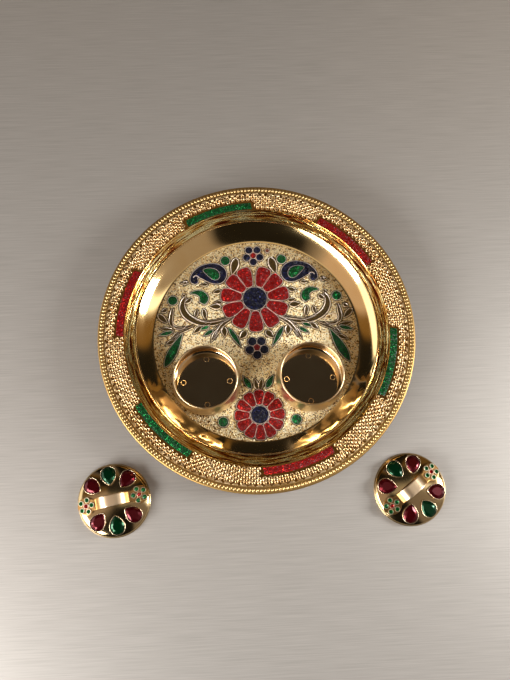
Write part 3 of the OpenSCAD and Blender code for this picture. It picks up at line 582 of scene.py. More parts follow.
def diaper_tree():
    tree, given = named_inputs("diaper", {
        "Columns": "Int", "Rows": "Int", "Inner radius": "Float", "Row pitch": "Float",
        "Inner level": "Float", "Size seed": "Int", "Slope": "Float", "Fields": "Int",
        "First field": "Float", "Field half angle": "Float", "Field radius": "Float"})
    columns = given["Columns"]
    index = add(tree, "GeometryNodeInputIndex")
    filled = add(tree, "ShaderNodeMath", (index, columns), operation="DIVIDE")
    row = add(tree, "ShaderNodeMath", (filled,), operation="FLOOR")
    column = add(tree, "ShaderNodeMath", (index, columns), operation="MODULO")
    odd = add(tree, "ShaderNodeMath", (row, 2.0), operation="MODULO")
    shifted = add(tree, "ShaderNodeMath", (odd, 0.5, column), operation="MULTIPLY_ADD")
    turn = add(tree, "ShaderNodeMath", (shifted, columns), operation="DIVIDE")
    angle = add(tree, "ShaderNodeMath", (turn, math.tau), operation="MULTIPLY")
    out = add(tree, "ShaderNodeMath", (row, given["Row pitch"]), operation="MULTIPLY")
    radius = add(tree, "ShaderNodeMath", (out, given["Inner radius"]), operation="ADD")
    level = add(tree, "ShaderNodeMath", (
        out, given["Slope"], given["Inner level"]), operation="MULTIPLY_ADD")
    cos = add(tree, "ShaderNodeMath", (angle,), operation="COSINE")
    sin = add(tree, "ShaderNodeMath", (angle,), operation="SINE")
    place = add(tree, "ShaderNodeCombineXYZ", {
        "X": add(tree, "ShaderNodeMath", (radius, cos), operation="MULTIPLY"),
        "Y": add(tree, "ShaderNodeMath", (radius, sin), operation="MULTIPLY"), "Z": level})
    count = add(tree, "ShaderNodeMath", (columns, given["Rows"]), operation="MULTIPLY")
    dots = add(tree, "GeometryNodePoints", {"Count": count})
    laid = add(tree, "GeometryNodeSetPosition", {"Geometry": dots, "Position": place})
    # How far round it is to the middle of the nearest bar, compared with half a field
    share = add(tree, "ShaderNodeMath", (math.tau, given["Fields"]), operation="DIVIDE")
    offset = add(tree, "ShaderNodeMath", (angle, given["First field"]), operation="SUBTRACT")
    fields = add(tree, "ShaderNodeMath", (offset, share), operation="DIVIDE")
    whole = add(tree, "ShaderNodeMath", (fields,), operation="ROUND")
    nearest = add(tree, "ShaderNodeMath", (share, whole), operation="MULTIPLY")
    past = add(tree, "ShaderNodeMath", (offset, nearest), operation="SUBTRACT")
    away = add(tree, "ShaderNodeMath", (past,), operation="ABSOLUTE")
    beside_bar = add(tree, "ShaderNodeMath", (
        away, given["Field half angle"]), operation="LESS_THAN")
    within = add(tree, "ShaderNodeMath", (radius, given["Field radius"]), operation="LESS_THAN")
    kept = add(tree, "GeometryNodeDeleteGeometry", {
        "Geometry": laid,
        "Selection": add(tree, "ShaderNodeMath", (beside_bar, within), operation="MULTIPLY")},
        domain="POINT")
    size = add(tree, "FunctionNodeRandomValue", {
        "Min": SMALLEST, "Max": LARGEST, "Seed": given["Size seed"]}, data_type="FLOAT_VECTOR")
    knots = add(tree, "GeometryNodeInstanceOnPoints", {
        "Points": kept, "Instance": given["Geometry"], "Rotation": facing_out(tree),
        "Scale": size})
    return closed(tree, knots, given["Finish"])


def circle(radius, steps, centre=(0, 0), start=0):
    """Points round a circle, anticlockwise from an angle in degrees."""
    return arc(centre, radius, radius, start, start + 360, steps)[:-1]


def join_rings(shape, rings, inner_from=None):
    """Faces between rings of vertices, of the second finish from one ring on."""
    for k, (a, b) in enumerate(zip(rings, rings[1:])):
        for i in range(len(a)):
            j = (i + 1) % len(a)
            face = shape.faces.new((a[i], a[j], b[j], b[i]))
            face.material_index = int(inner_from is not None and k >= inner_from)


def rosette_mesh():
    """One small ring about the origin, standing half out of the rim."""
    shape = bmesh.new()
    section = arc((ROSETTE_RADIUS, 0), ROSETTE_HALF_WIDTH, ROSETTE_HALF_HEIGHT, 0, 360, 5)[:-1]
    rings = [
        [shape.verts.new((out.x * p.x, out.y * p.x, p.y)) for p in section]
        for out in circle(1, 9)]
    join_rings(shape, rings + rings[:1])
    return settled(shape, bpy.data.meshes.new("rosette"))


def border_leaf_mesh():
    """One small leaf of the border, its tip towards the plate's middle."""
    long, wide, high = BORDER_LEAF
    shape = bmesh.new()
    spots = [
        (-0.5, 0, 0), (0.15, 0.42, 0), (0.5, 0.5, 0), (0.5, -0.5, 0), (0.15, -0.42, 0),
        (-0.1, 0, 0.8), (0.35, 0, 1)]
    verts = [shape.verts.new((x * long, y * wide, z * high)) for x, y, z in spots]
    bmesh.ops.convex_hull(shape, input=verts)
    return settled(shape, bpy.data.meshes.new("border_leaf"))


DIAPER_GOLD = gold_plate("gold_plate_knurled", "#e4b872", "#ffe8bc", 0.36, grain=0.3 * MM)
DIAPER = diaper_tree()
rim_slope = 0.75 * RIM_FALL / (RIM_WIDTH - EDGE_ROUND)
for name, start, columns, rows, inner_radius in (
    ("rim_rosettes", rosette_mesh(), DIAPER_COLUMNS, DIAPER_ROWS, DIAPER_INNER_RADIUS),
    ("rim_border", border_leaf_mesh(), BORDER_LEAVES, 1, BORDER_RADIUS),
):
    level = RIM_TOP - RIM_FALL + (inner_radius - RIM_INNER_RADIUS) * rim_slope
    diaper = made_with(DIAPER, name, start, {
        "Columns": columns, "Rows": rows, "Inner radius": inner_radius,
        "Row pitch": DIAPER_ROW_PITCH, "Inner level": level, "Slope": rim_slope,
        "Size seed": 7, "Fields": BAR_COUNT, "First field": math.radians(BAR_FIRST_TURN),
        "Field half angle": math.radians(BAR_FIELD_HALF_TURN),
        "Field radius": BAR_FIELD_OUTER_RADIUS, "Finish": DIAPER_GOLD}, 70)
    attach(diaper, "plate")


# The rim's enamel bars: three red and three green ones in turn, poured into shallow
# recesses and cured to a domed gloss, with bright flakes in the colour.

BAR_INNER_RADIUS = 105.0 * MM
BAR_WIDTH = 6.6 * MM
BAR_HALF_TURN = 15
BAR_LEVEL = RIM_TOP - 0.72 * MM
# From the edge of a cell inward: how far from its middle line, as a share, and how high
FILL_STEPS = [
    (1.0, -0.5 * MM), (1.0, -0.06 * MM), (0.88, 0.02 * MM), (0.7, 0.11 * MM),
    (0.45, 0.18 * MM), (0.0, 0.22 * MM)]
FLAKE_PITCH = 0.526316 * MM
COLOUR_CLOUD = 3.8462 * MM
FLAKE_LEAN = 0.9


def along_line(line, point):
    """The place on a line of points that is nearest to a point."""
    best = None
    for a, b in zip(line, line[1:]):
        span = b - a
        t = min(max((point - a).dot(span) / max(span.length_squared, 1e-12), 0), 1)
        spot = a + span * t
        if best is None or (spot - point).length < (best - point).length:
            best = spot
    return best


def finished(shape, name, finishes, turn_edges=None):
    """An object of a shape, with its finishes."""
    mesh = settled(shape, bpy.data.meshes.new(name), turn_edges)
    for finish in finishes:
        mesh.materials.append(finish)
    return linked(name, mesh)


def domes(name, cells, steps, finishes, inner_from=None):
    """Raised shapes that look up, each from an outline, a middle line and the steps."""
    shape = bmesh.new()
    for outline, spine in cells:
        middles = [along_line(spine, p) if len(spine) > 1 else spine[0] for p in outline]
        rings = [
            [shape.verts.new((*(m + (p - m) * share), level)) for p, m in zip(outline, middles)]
            for share, level in steps]
        join_rings(shape, rings, inner_from)
    bmesh.ops.remove_doubles(shape, verts=shape.verts, dist=0.004 * MM)
    made = finished(shape, name, finishes, 50)
    if sum(face.normal.z * face.area for face in made.data.polygons) < 0:
        made.data.flip_normals()
    return made


def filling(name, cells, level, finish):
    """Enamel that fills cells of the design, domed a little above its edge."""
    return domes(name, cells, [(share, level + rise) for share, rise in FILL_STEPS], [finish])


def enamel(name, deep, light, flakes=0.2):
    # Cold enamel: a clear glossy resin, tinted, with metal flakes that lie at every angle
    # in it, poured into the cell and levelled by its own skin. The real flakes are too
    # fine to show, and are drawn coarser
    material, tree, shader, place = finish_of(name)
    scatter = add(tree, "ShaderNodeTexVoronoi", {"Vector": place, "Scale": 1 / FLAKE_PITCH})
    chance = add(tree, "ShaderNodeSeparateColor", {"Color": scatter.outputs["Color"]})
    flake = add(tree, "ShaderNodeMath", (
        chance.outputs["Red"], flakes), operation="LESS_THAN")
    clouds = add(tree, "ShaderNodeTexNoise", {
        "Vector": place, "Scale": 1 / COLOUR_CLOUD, "Detail": 2.0})
    depth = add(tree, "ShaderNodeMapRange", (clouds, 0.3, 0.75, 0.0, 0.13))
    resin = add(tree, "ShaderNodeMix", {
        "Factor": depth, "A": linear(deep), "B": linear(light)}, data_type="RGBA")
    tone = add(tree, "ShaderNodeMix", {
        "Factor": flake, "A": resin, "B": linear(light)}, data_type="RGBA")
    centred = add(tree, "ShaderNodeVectorMath", (
        scatter.outputs["Color"], (0.5, 0.5, 0.5)), operation="SUBTRACT")
    lean = add(tree, "ShaderNodeVectorMath", {0: centred, "Scale": FLAKE_LEAN}, operation="SCALE")
    face = add(tree, "ShaderNodeNewGeometry").outputs["Normal"]
    leaning = add(tree, "ShaderNodeVectorMath", (face, lean), operation="ADD")
    normal = add(tree, "ShaderNodeVectorMath", (leaning,), operation="NORMALIZE")
    metal = add(tree, "ShaderNodeMath", (flake, 0.7), operation="MULTIPLY")
    feed(tree, shader, {
        "Base Color": tone, "Metallic": metal, "Normal": normal, "Roughness": 0.35,
        "Specular IOR Level": 0.25, "Coat Weight": 0.2, "Coat Roughness": 0.05})
    return material


def bar_cell(number):
    """The outline and middle line of one bar of the rim, in anticlockwise order."""
    middle = BAR_FIRST_TURN + number * 360 / BAR_COUNT
    first, last = middle - BAR_HALF_TURN, middle + BAR_HALF_TURN
    low, high = BAR_INNER_RADIUS, BAR_INNER_RADIUS + BAR_WIDTH
    centre = (low + high) / 2
    ends = arc((0, 0), centre, centre, first, last, 1)
    outer = arc((0, 0), high, high, first, last, 24)
    inner = arc((0, 0), low, low, last, first, 24)
    inset = math.degrees(BAR_WIDTH / 2 / low)
    spine = arc((0, 0), centre, centre, first + inset, last - inset, 12)
    return ends[:1] + outer + ends[1:] + inner, spine


RED = (enamel("enamel_red_glitter", "#600405", "#ac180f"), "enamel_red")
GREEN = (enamel("enamel_green_glitter", "#022c10", "#0f7434"), "enamel_green")
for first, node, (finish, slot) in ((0, "bars_red", RED), (1, "bars_green", GREEN)):
    cells = [bar_cell(i) for i in range(first, BAR_COUNT, 2)]
    bars = filling(node + "_fill", cells, BAR_LEVEL, finish)
    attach(bars, "plate")
    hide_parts(node)


# The floor panel: a thin stamped disc of pale champagne-plated brass, laid in the plate's
# floor. Its ground is stippled all over with a matting punch so that the polished wires
# and leaves stand out from it.

PANEL_LOW, PANEL_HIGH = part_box("floor_panel")
PANEL_RADIUS = (PANEL_HIGH.x - PANEL_LOW.x) / 2
PANEL_TOP = 1.9 * MM
PUNCH_PITCH = 0.8 * MM
PIT_GRAIN = 0.66667 * MM
TARNISH_CLOUD = 25 * MM


def stippled_ground():
    # Champagne plate over punched brass: each punch mark is a pit, and each pit is given a
    # random tone, dark brown as painted shade where it would turn away and near white as a
    # painted sparkle on its edges. The marks are drawn as coarse as they need to show
    material, tree, shader, place = finish_of("champagne_stipple")
    pits = add(tree, "ShaderNodeTexVoronoi", {"Vector": place, "Scale": 1 / PUNCH_PITCH})
    chance = add(tree, "ShaderNodeSeparateColor", {"Color": pits.outputs["Color"]})
    # Painted light: dark brown pits are painted shade, near-white pits are painted sparkle
    tone = add(tree, "ShaderNodeValToRGB", {"Fac": chance.outputs["Red"]})
    tone.color_ramp.interpolation = "CONSTANT"
    lay_tones(tone.color_ramp.elements, [
        (0.0, "#6e4a1c"), (0.15, "#deba7a"), (0.34, "#ffe9b2"), (0.66, "#fff4d0")])
    clouds = add(tree, "ShaderNodeTexNoise", {
        "Vector": place, "Scale": 1 / TARNISH_CLOUD, "Detail": 2.0})
    tarnish = add(tree, "ShaderNodeMapRange", (clouds, 0.35, 0.7, 0.88, 1.0))
    shade = add(tree, "ShaderNodeMix", {
        "Factor": 1.0, "A": tone, "B": tarnish}, data_type="RGBA", blend_type="MULTIPLY")
    grain = add(tree, "ShaderNodeTexNoise", {
        "Vector": place, "Scale": 1 / PIT_GRAIN, "Detail": 3.0})
    fine = add(tree, "ShaderNodeBump", {"Height": grain, "Distance": 0.35 * MM})
    punched = add(tree, "ShaderNodeBump", {
        "Height": pits.outputs["Distance"], "Distance": 0.5 * MM, "Normal": fine})
    feed(tree, shader, {
        "Base Color": shade, "Metallic": 0.85, "Roughness": 0.45, "Normal": punched})
    return material


panel_line = [
    (0, SHEET), (PANEL_RADIUS, SHEET), (PANEL_RADIUS, PANEL_TOP - 0.15 * MM),
    (PANEL_RADIUS - 0.2 * MM, PANEL_TOP), (0, PANEL_TOP)]
panel = spun("floor_panel_disc", [panel_line], stippled_ground())
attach(panel, "plate")
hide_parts("floor_panel")


# The two great flowers: a bloom of eleven red petals above, a blossom of twelve below, each
# round a dark blue eye. Drawn wires part the cells, and cold enamel fills them. Their
# places and sizes are shares of the panel's radius.

BLOOM_PLACE = (0, 0.407)
BLOOM_PETAL = (0.130, 0.342, 0.140)
BLOOM_TURNS = [90 + side * turn for turn in (20, 49, 81, 114, 146) for side in (-1, 1)] + [270]
BLOSSOM_PLACE = (0, -0.748)
BLOSSOM_PETAL = (0.096, 0.240, 0.098)
BLOSSOM_PETALS = 12
PETAL_LENGTHS = [0, 0.14, 0.28, 0.42, 0.56, 0.70, 0.82, 0.92, 0.98]
PETAL_HALF_WIDTHS = [0.42, 0.58, 0.72, 0.85, 0.95, 1, 0.98, 0.84, 0.52]
FILL_LEVEL = PANEL_TOP + 0.62 * MM
WIRE_HALF_WIDTH = 0.25 * MM
WIRE_HALF_HEIGHT = 0.9 * MM
WIRE_LEVEL = PANEL_TOP


def shared(x, y):
    """A place on the panel, as shares of its radius."""
    return Vector((x, y)) * PANEL_RADIUS


def smoothed(outline, times=2):
    """A closed outline with its corners cut again and again."""
    for _ in range(times):
        outline = [
            a.lerp(b, t) for a, b in zip(outline, outline[1:] + outline[:1]) for t in (0.25, 0.75)]
    return outline


def placed(cell, place=(0, 0), turn=0, mirrored=False):
    """A cell turned, moved, and mirrored about the design's middle line."""
    cos, sin = math.cos(math.radians(turn)), math.sin(math.radians(turn))
    both = []
    for points in cell:
        moved = [
            Vector((p.x * cos - p.y * sin, p.x * sin + p.y * cos)) + Vector(place)
            for p in points]
        both.append([Vector((-p.x, p.y)) for p in moved] if mirrored else moved)
    if mirrored:
        both[0].reverse()
    return tuple(both)


def petal(inner, outer, width):
    """A petal along +X, from its narrow inner end to its round outer one."""
    start = inner * PANEL_RADIUS
    reach = (outer - inner) * PANEL_RADIUS
    half = width / 2 * PANEL_RADIUS
    low = [
        Vector((start + reach * along, -half * wide))
        for along, wide in zip(PETAL_LENGTHS, PETAL_HALF_WIDTHS)]
    outline = smoothed(low + [Vector((p.x, -p.y)) for p in reversed(low)])
    return outline, [Vector((start + 0.12 * reach, 0)), Vector((start + 0.72 * reach, 0))]


def disc(radius, place, steps=40):
    """A round cell at a place."""
    return circle(radius * PANEL_RADIUS, steps, place), [place]


def grown(outline, distance):
    """A closed anticlockwise outline moved outward."""
    moved = []
    for i, p in enumerate(outline):
        a = (p - outline[i - 1]).normalized()
        b = (outline[(i + 1) % len(outline)] - p).normalized()
        m = (a + b).normalized() if (a + b).length > 1e-6 else a
        moved.append(p + Vector((m.y, -m.x)) * distance / max(m.dot(a), 0.6))
    return moved


def oval_section(tree, given, steps):
    """A round section, as wide and as high as the inputs say."""
    ring = add(tree, "GeometryNodeCurvePrimitiveCircle", {"Resolution": steps, "Radius": 1.0})
    size = add(tree, "ShaderNodeCombineXYZ", {
        "X": given["Half width"], "Y": given["Half height"], "Z": 1.0})
    return add(tree, "GeometryNodeTransform", {"Geometry": ring, "Scale": size})


def wire_tree():
    tree, given = named_inputs("wire", {"Half width": "Float", "Half height": "Float"})
    path = add(tree, "GeometryNodeMeshToCurve", {"Mesh": given["Geometry"]})
    level = add(tree, "GeometryNodeSetCurveNormal", {"Curve": path}, mode="Z_UP")
    swept = add(tree, "GeometryNodeCurveToMesh", {
        "Curve": level, "Profile Curve": oval_section(tree, given, 10)})
    return closed(tree, swept, given["Finish"])


WIRE = wire_tree()


def wires(name, outlines, level, finish, half_width=WIRE_HALF_WIDTH, half_height=WIRE_HALF_HEIGHT):
    """A wire round each outline, its middle at the level."""
    loops = [[(p.x, p.y, level) for p in outline] for outline in outlines]
    return made_with(WIRE, name, line_mesh(name, loops), {
        "Half width": half_width, "Half height": half_height, "Finish": finish}, 60)


CELL_EDGES = []
BRIGHT_WIRE = gold_plate("champagne_wire", "#fdeada", "#fff8f0", 0.5)
BLUE = (enamel("enamel_blue_glitter", "#04040c", "#1a2052", flakes=0.1), "enamel_blue")


def enamelled(node, cells, colour, level=FILL_LEVEL):
    """The enamel of one node of the design, and the wires round its cells."""
    finish, slot = colour
    CELL_EDGES.extend(outline for outline, _ in cells)
    fill = filling(node + "_fill", cells, level, finish)
    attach(fill, "plate")
    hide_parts(node)
    edges = [grown(outline, WIRE_HALF_WIDTH * 0.8) for outline, _ in cells]
    rim = wires(node + "_wires", edges, WIRE_LEVEL, BRIGHT_WIRE)
    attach(rim, "plate")


bloom_place, blossom_place = shared(*BLOOM_PLACE), shared(*BLOSSOM_PLACE)
enamelled(
    "bloom_petals", [placed(petal(*BLOOM_PETAL), bloom_place, turn) for turn in BLOOM_TURNS], RED)
enamelled("bloom_eye", [disc(0.118, bloom_place)], BLUE)
enamelled(
    "blossom_petals",
    [placed(petal(*BLOSSOM_PETAL), blossom_place, 360 * i / BLOSSOM_PETALS)
     for i in range(BLOSSOM_PETALS)], RED)
enamelled("blossom_eye", [disc(0.084, blossom_place)], BLUE)


# The two small florets on the middle line, five round blue petals about a red eye each, and
# the round green spots and one small brown spot that stand alone in the ground.

FLORETS = {"top_floret": (0.861, 0.069, 0.036, 0.030), "mid_floret": (-0.091, 0.074, 0.041, 0.032)}
GREEN_SPOTS = [(0.282, 0.813), (0.812, 0.413), (0.347, -0.805)]
GREEN_SPOT_RADIUS = 0.046
BROWN_SPOT = (0.144, 0.908)
BROWN_SPOT_RADIUS = 0.019
BROWN = (enamel("enamel_brown_glitter", "#4a1c0c", "#9c5a34"), "enamel_brown")

for name, (height, ring, petal_radius, eye_radius) in FLORETS.items():
    middle = shared(0, height)
    petals = circle(ring * PANEL_RADIUS, 5, middle, start=54)
    enamelled(name + "_petals", [disc(petal_radius, place, 28) for place in petals], BLUE)
    enamelled(name + "_eye", [disc(eye_radius, middle, 28)], RED)
spots = [
    placed(disc(GREEN_SPOT_RADIUS, shared(x, y), 32), mirrored=mirrored)
    for x, y in GREEN_SPOTS for mirrored in (False, True)]
enamelled("spots_green", spots, GREEN)
enamelled("spot_brown", [disc(BROWN_SPOT_RADIUS, shared(*BROWN_SPOT), 20)], BROWN)


# The green leaves and commas: narrow cells on either side of the flowers, the same shapes
# mirrored, filled like the petals. A leaf is its two ends and its width, and a stroke is
# places with widths, all as shares of the panel's radius.

LEAVES = {
    "leaves_side": (0.896, -0.256, 0.718, 0.078, 0.084),
    "leaves_bloom": (0.266, 0.114, 0.151, -0.084, 0.044),
    "leaves_blossom": (0.073, -0.493, 0.146, -0.370, 0.052)}
COMMA = [
    (0.632, 0.483, 0.010), (0.567, 0.491, 0.048), (0.512, 0.462, 0.072),
    (0.498, 0.416, 0.092), (0.524, 0.376, 0.052)]
SPRAYS = [
    (0.458, 0.141, 0.548, 0.106, 0.034), (0.423, 0.096, 0.514, 0.043, 0.036),
    (0.813, 0.098, 0.950, 0.062, 0.038)]
LEAF_PARTS = 14


def leaf(x0, y0, x1, y1, width):
    """A leaf from its stalk end to its tip, widest before its middle."""
    start, tip = shared(x0, y0), shared(x1, y1)
    along = tip - start
    side = Vector((-along.y, along.x)).normalized() * width / 2 * PANEL_RADIUS
    line = [(start + along * i / LEAF_PARTS, side * math.sin(math.pi * (i / LEAF_PARTS) ** 0.75))
            for i in range(LEAF_PARTS + 1)]
    outline = [middle - half for middle, half in line] + [
        middle + half for middle, half in reversed(line[1:-1])]
    return outline, [start + along * 0.1, start + along * 0.88]


def stroke(points, width_scale=1.0):
    """A stroke whose middle line and widths are given as shares."""
    line = [Vector(p) for p in points]
    for _ in range(2):
        cut = [a.lerp(b, t) for a, b in zip(line, line[1:]) for t in (0.25, 0.75)]
        line = [line[0]] + cut + [line[-1]]
    middle = [shared(p.x, p.y) for p in line]
    right, left = [], []
    for i, p in enumerate(middle):
        along = (middle[min(i + 1, len(middle) - 1)] - middle[max(i - 1, 0)]).normalized()
        half = Vector((-along.y, along.x)) * line[i].z / 2 * PANEL_RADIUS * width_scale
        right.append(p - half)
        left.append(p + half)
    return right + left[::-1], middle


def paired(cells):
    """Each cell and its mirror image."""
    return [placed(cell, mirrored=mirrored) for cell in cells for mirrored in (False, True)]


for node, sizes in LEAVES.items():
    enamelled(node, paired([leaf(*sizes)]), GREEN)
enamelled("commas", paired([stroke(COMMA)]), GREEN)
enamelled("sprays", paired([leaf(*sizes) for sizes in SPRAYS]), GREEN)


# The paisleys: a blue hooked cell on either side of the bloom, with a green drop set in it
# inside a wire of its own. Each has its outline and its middle line.

PAISLEY_EDGE = [
    (0.281, 0.627), (0.313, 0.588), (0.359, 0.571), (0.419, 0.580), (0.474, 0.606),
    (0.522, 0.636), (0.556, 0.652), (0.566, 0.636), (0.556, 0.608), (0.562, 0.588),
    (0.586, 0.576), (0.620, 0.586), (0.637, 0.620), (0.628, 0.668), (0.592, 0.720),
    (0.538, 0.762), (0.473, 0.784), (0.407, 0.790), (0.341, 0.776), (0.290, 0.735),
    (0.269, 0.675)]
PAISLEY_SPINE = [
    (0.36, 0.68), (0.44, 0.69), (0.52, 0.70), (0.575, 0.685), (0.60, 0.65), (0.60, 0.615),
    (0.588, 0.595)]
DROP_EDGE = [
    (0.347, 0.632), (0.376, 0.613), (0.412, 0.620), (0.450, 0.653), (0.486, 0.690),
    (0.512, 0.724), (0.457, 0.742), (0.402, 0.736), (0.357, 0.712), (0.339, 0.670)]
DROP_SPINE = [(0.38, 0.66), (0.42, 0.69), (0.47, 0.715)]

for side, mirrored in (("right", False), ("left", True)):
    for kind, edge, spine, colour, rise in (
        ("paisley_", PAISLEY_EDGE, PAISLEY_SPINE, BLUE, -0.12 * MM),
        ("paisley_drop_", DROP_EDGE, DROP_SPINE, GREEN, 0.05 * MM),
    ):
        cell = (smoothed([shared(*p) for p in edge]), [shared(*p) for p in spine])
        enamelled(kind + side, [placed(cell, mirrored=mirrored)], colour, FILL_LEVEL + rise)


# The bare relief: vines, stems, tendrils, small leaves and two oval loops, stamped up from
# behind and chased on the front, so that each has a bright rim round a hollow painted dark,
# as painted shade and dark reflection. Thin dark ridges round all the cells carry painted
# shadow lines.

SHADOW_LINE_REACH = 0.66 * MM
SHADOW_LINE_HALF_SIZE = (0.32 * MM, 0.2 * MM)
RELIEF_FULLNESS = 1.35
LEAF_STEPS = [
    (1.0, PANEL_TOP - 0.1 * MM), (0.96, PANEL_TOP + 0.62 * MM), (0.88, PANEL_TOP + 0.86 * MM),
    (0.78, PANEL_TOP + 0.76 * MM), (0.5, PANEL_TOP + 0.35 * MM), (0.22, PANEL_TOP + 0.3 * MM),
    (0.0, PANEL_TOP + 0.5 * MM)]
HOLLOW_FROM_STEP = 3
GOLD_LEAVES = [
    (0.168, 0.841, 0.219, 0.662, 0.064), (0.656, 0.592, 0.729, 0.594, 0.028),
    (0.677, 0.617, 0.696, 0.570, 0.024), (0.335, 0.500, 0.413, 0.481, 0.034),
    (0.326, 0.379, 0.397, 0.384, 0.028), (0.337, 0.336, 0.452, 0.339, 0.044),
    (0.510, 0.321, 0.492, 0.205, 0.032), (0.574, 0.312, 0.592, 0.226, 0.028),
    (0.629, 0.423, 0.695, 0.381, 0.032), (0.868, 0.322, 0.921, 0.300, 0.030),
    (0.957, 0.276, 0.864, 0.181, 0.042), (0.682, 0.465, 0.720, 0.457, 0.024),
    (0.535, 0.140, 0.613, 0.069, 0.036), (0.437, 0.172, 0.520, 0.150, 0.022),
    (0.380, 0.104, 0.445, -0.020, 0.026), (0.803, 0.106, 0.944, 0.134, 0.032),
    (0.761, 0.083, 0.823, 0.027, 0.028), (0.797, 0.008, 0.886, -0.035, 0.032),
    (0.093, 0.078, 0.168, 0.001, 0.050), (0.317, 0.127, 0.306, 0.028, 0.046),
    (0.461, 0.572, 0.538, 0.563, 0.022), (0.010, -0.505, 0.036, -0.400, 0.036)]
VINE = [
    (0.227, 0.222, 0.012), (0.329, 0.178, 0.020), (0.437, 0.158, 0.028),
    (0.525, 0.166, 0.036), (0.615, 0.203, 0.046), (0.685, 0.257, 0.050),
    (0.720, 0.331, 0.046), (0.716, 0.394, 0.034), (0.688, 0.442, 0.018)]
VINE_VEIN = [
    (0.277, 0.226, 0.010), (0.395, 0.190, 0.013), (0.515, 0.186, 0.013), (0.593, 0.216, 0.008)]
STEM = [
    (0.232, 0.210, 0.018), (0.317, 0.160, 0.026), (0.375, 0.090, 0.024), (0.412, 0.010, 0.010)]
STEM_VEIN = [(0.265, 0.209, 0.010), (0.351, 0.163, 0.014), (0.408, 0.113, 0.010)]
TENDRIL = [
    (0.816, 0.328, 0.014), (0.826, 0.264, 0.026), (0.837, 0.207, 0.028), (0.823, 0.156, 0.020),
    (0.764, 0.128, 0.015), (0.690, 0.130, 0.012), (0.612, 0.152, 0.008)]
RUNNER = [
    (0.620, 0.135, 0.010), (0.690, 0.104, 0.015), (0.751, 0.083, 0.015), (0.800, 0.020, 0.010)]
HOOK = [
    (0.548, 0.650, 0.008), (0.572, 0.666, 0.010), (0.594, 0.661, 0.010), (0.605, 0.643, 0.008)]
HOOK_STEPS = [(1, FILL_LEVEL - 0.2 * MM), (0.9, FILL_LEVEL + 0.3 * MM), (0, FILL_LEVEL + 0.42 * MM)]
LOOP_CENTRE, LOOP_REACH = (0.745, 0.172), (0.066, 0.056)
PATINA_GRAIN = 1.42857 * MM


def painted_shade_brass(name, low, high):
    # Painted shade on brass, in the relief's hollows and in the lines round the cells
    material, tree, shader, place = finish_of(name)
    grain = add(tree, "ShaderNodeTexNoise", {
        "Vector": place, "Scale": 1 / PATINA_GRAIN, "Detail": 2.0})
    tone = add(tree, "ShaderNodeMix", {
        "Factor": grain, "A": linear(low), "B": linear(high)}, data_type="RGBA")
    feed(tree, shader, {"Base Color": tone, "Metallic": 0.6, "Roughness": 0.42})
    return material


bare = [leaf(*place, width * RELIEF_FULLNESS) for *place, width in GOLD_LEAVES] + [
    stroke(one, RELIEF_FULLNESS) for one in (VINE, VINE_VEIN, STEM, STEM_VEIN, TENDRIL, RUNNER)]
relief_cells = paired(bare)
# The relief's hollows are painted dark: painted shade and dark reflection
painted_shade_hollow = painted_shade_brass("brass_painted_shade_hollow", "#241a0a", "#665024")
relief = domes(
    "bare_relief", relief_cells, LEAF_STEPS, [BRIGHT_WIRE, painted_shade_hollow], HOLLOW_FROM_STEP)
hooks = domes("hook_lines", paired([stroke(HOOK)]), HOOK_STEPS, [BRIGHT_WIRE])
# Thin dark ridges round every cell and relief shape: painted shadow lines
shadow_lines = wires(
    "painted_shadow_lines",
    [grown(outline, SHADOW_LINE_REACH) for outline in CELL_EDGES + [edge for edge, _ in relief_cells]],
    PANEL_TOP, painted_shade_brass("brass_painted_shadow_line", "#1c1408", "#4a3614"), *SHADOW_LINE_HALF_SIZE)
oval = [
    shared(LOOP_CENTRE[0] + LOOP_REACH[0] * p.x, LOOP_CENTRE[1] + LOOP_REACH[1] * p.y)
    for p in circle(1, 32)]
loops = wires("loops", [oval, [Vector((-p.x, p.y)) for p in oval]], WIRE_LEVEL, BRIGHT_WIRE)
for piece in (relief, hooks, shadow_lines, loops):
    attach(piece, "plate")


# The katoris: two small round-bellied cups, each spun from one disc with a rolled lip and
# spot-welded to the panel. Four weld marks show as rings in the floor of each.

CUP_BASE = PANEL_TOP
CUP_HEIGHT = 21.8 * MM
CUP_WALL = 0.9 * MM
CUP_FLAT_RADIUS = 23.4 * MM
CUP_TURN_HEIGHT = 3.6 * MM
CUP_LEAN = 2.25 * MM
CUP_BULGE = 0.25 * MM
CUP_BEAD_RADIUS = 0.65 * MM
WELD_CIRCLE_RADIUS = 18.5 * MM
WELD_RADIUS = 2.0 * MM
WELD_HALF_WIDTH = 0.18 * MM
WELD_HALF_HEIGHT = 0.14 * MM
WELD_COUNT = 4


def weld_tree():
    tree, given = named_inputs("weld_marks", {
        "Marks": "Int", "Circle radius": "Float", "Mark radius": "Float",
        "Half width": "Float", "Half height": "Float"})
    spots = add(tree, "GeometryNodeCurvePrimitiveCircle", {
        "Resolution": given["Marks"], "Radius": given["Circle radius"]})
    ring = add(tree, "GeometryNodeCurvePrimitiveCircle", {
        "Resolution": 32, "Radius": given["Mark radius"]})
    mark = add(tree, "GeometryNodeCurveToMesh", {
        "Curve": ring, "Profile Curve": oval_section(tree, given, 8)})
    marks = add(tree, "GeometryNodeInstanceOnPoints", {"Points": spots, "Instance": mark})
    return closed(tree, marks, given["Finish"])


def cup_line(belly):
    """The outer side of a cup from the middle of its foot up to its lip."""
    foot = arc(
        (CUP_FLAT_RADIUS, CUP_TURN_HEIGHT), belly - CUP_FLAT_RADIUS, CUP_TURN_HEIGHT,
        -82.5, 0, 11)
    lean = CUP_LEAN + 0.2 * MM
    rise = CUP_HEIGHT - CUP_BEAD_RADIUS - CUP_TURN_HEIGHT
    wall = [
        (belly - lean * share + CUP_BULGE * math.sin(math.pi * share),
         CUP_TURN_HEIGHT + rise * share) for share in (i / 8 for i in range(1, 9))]
    return [(0, 0), (CUP_FLAT_RADIUS, 0)] + foot + wall


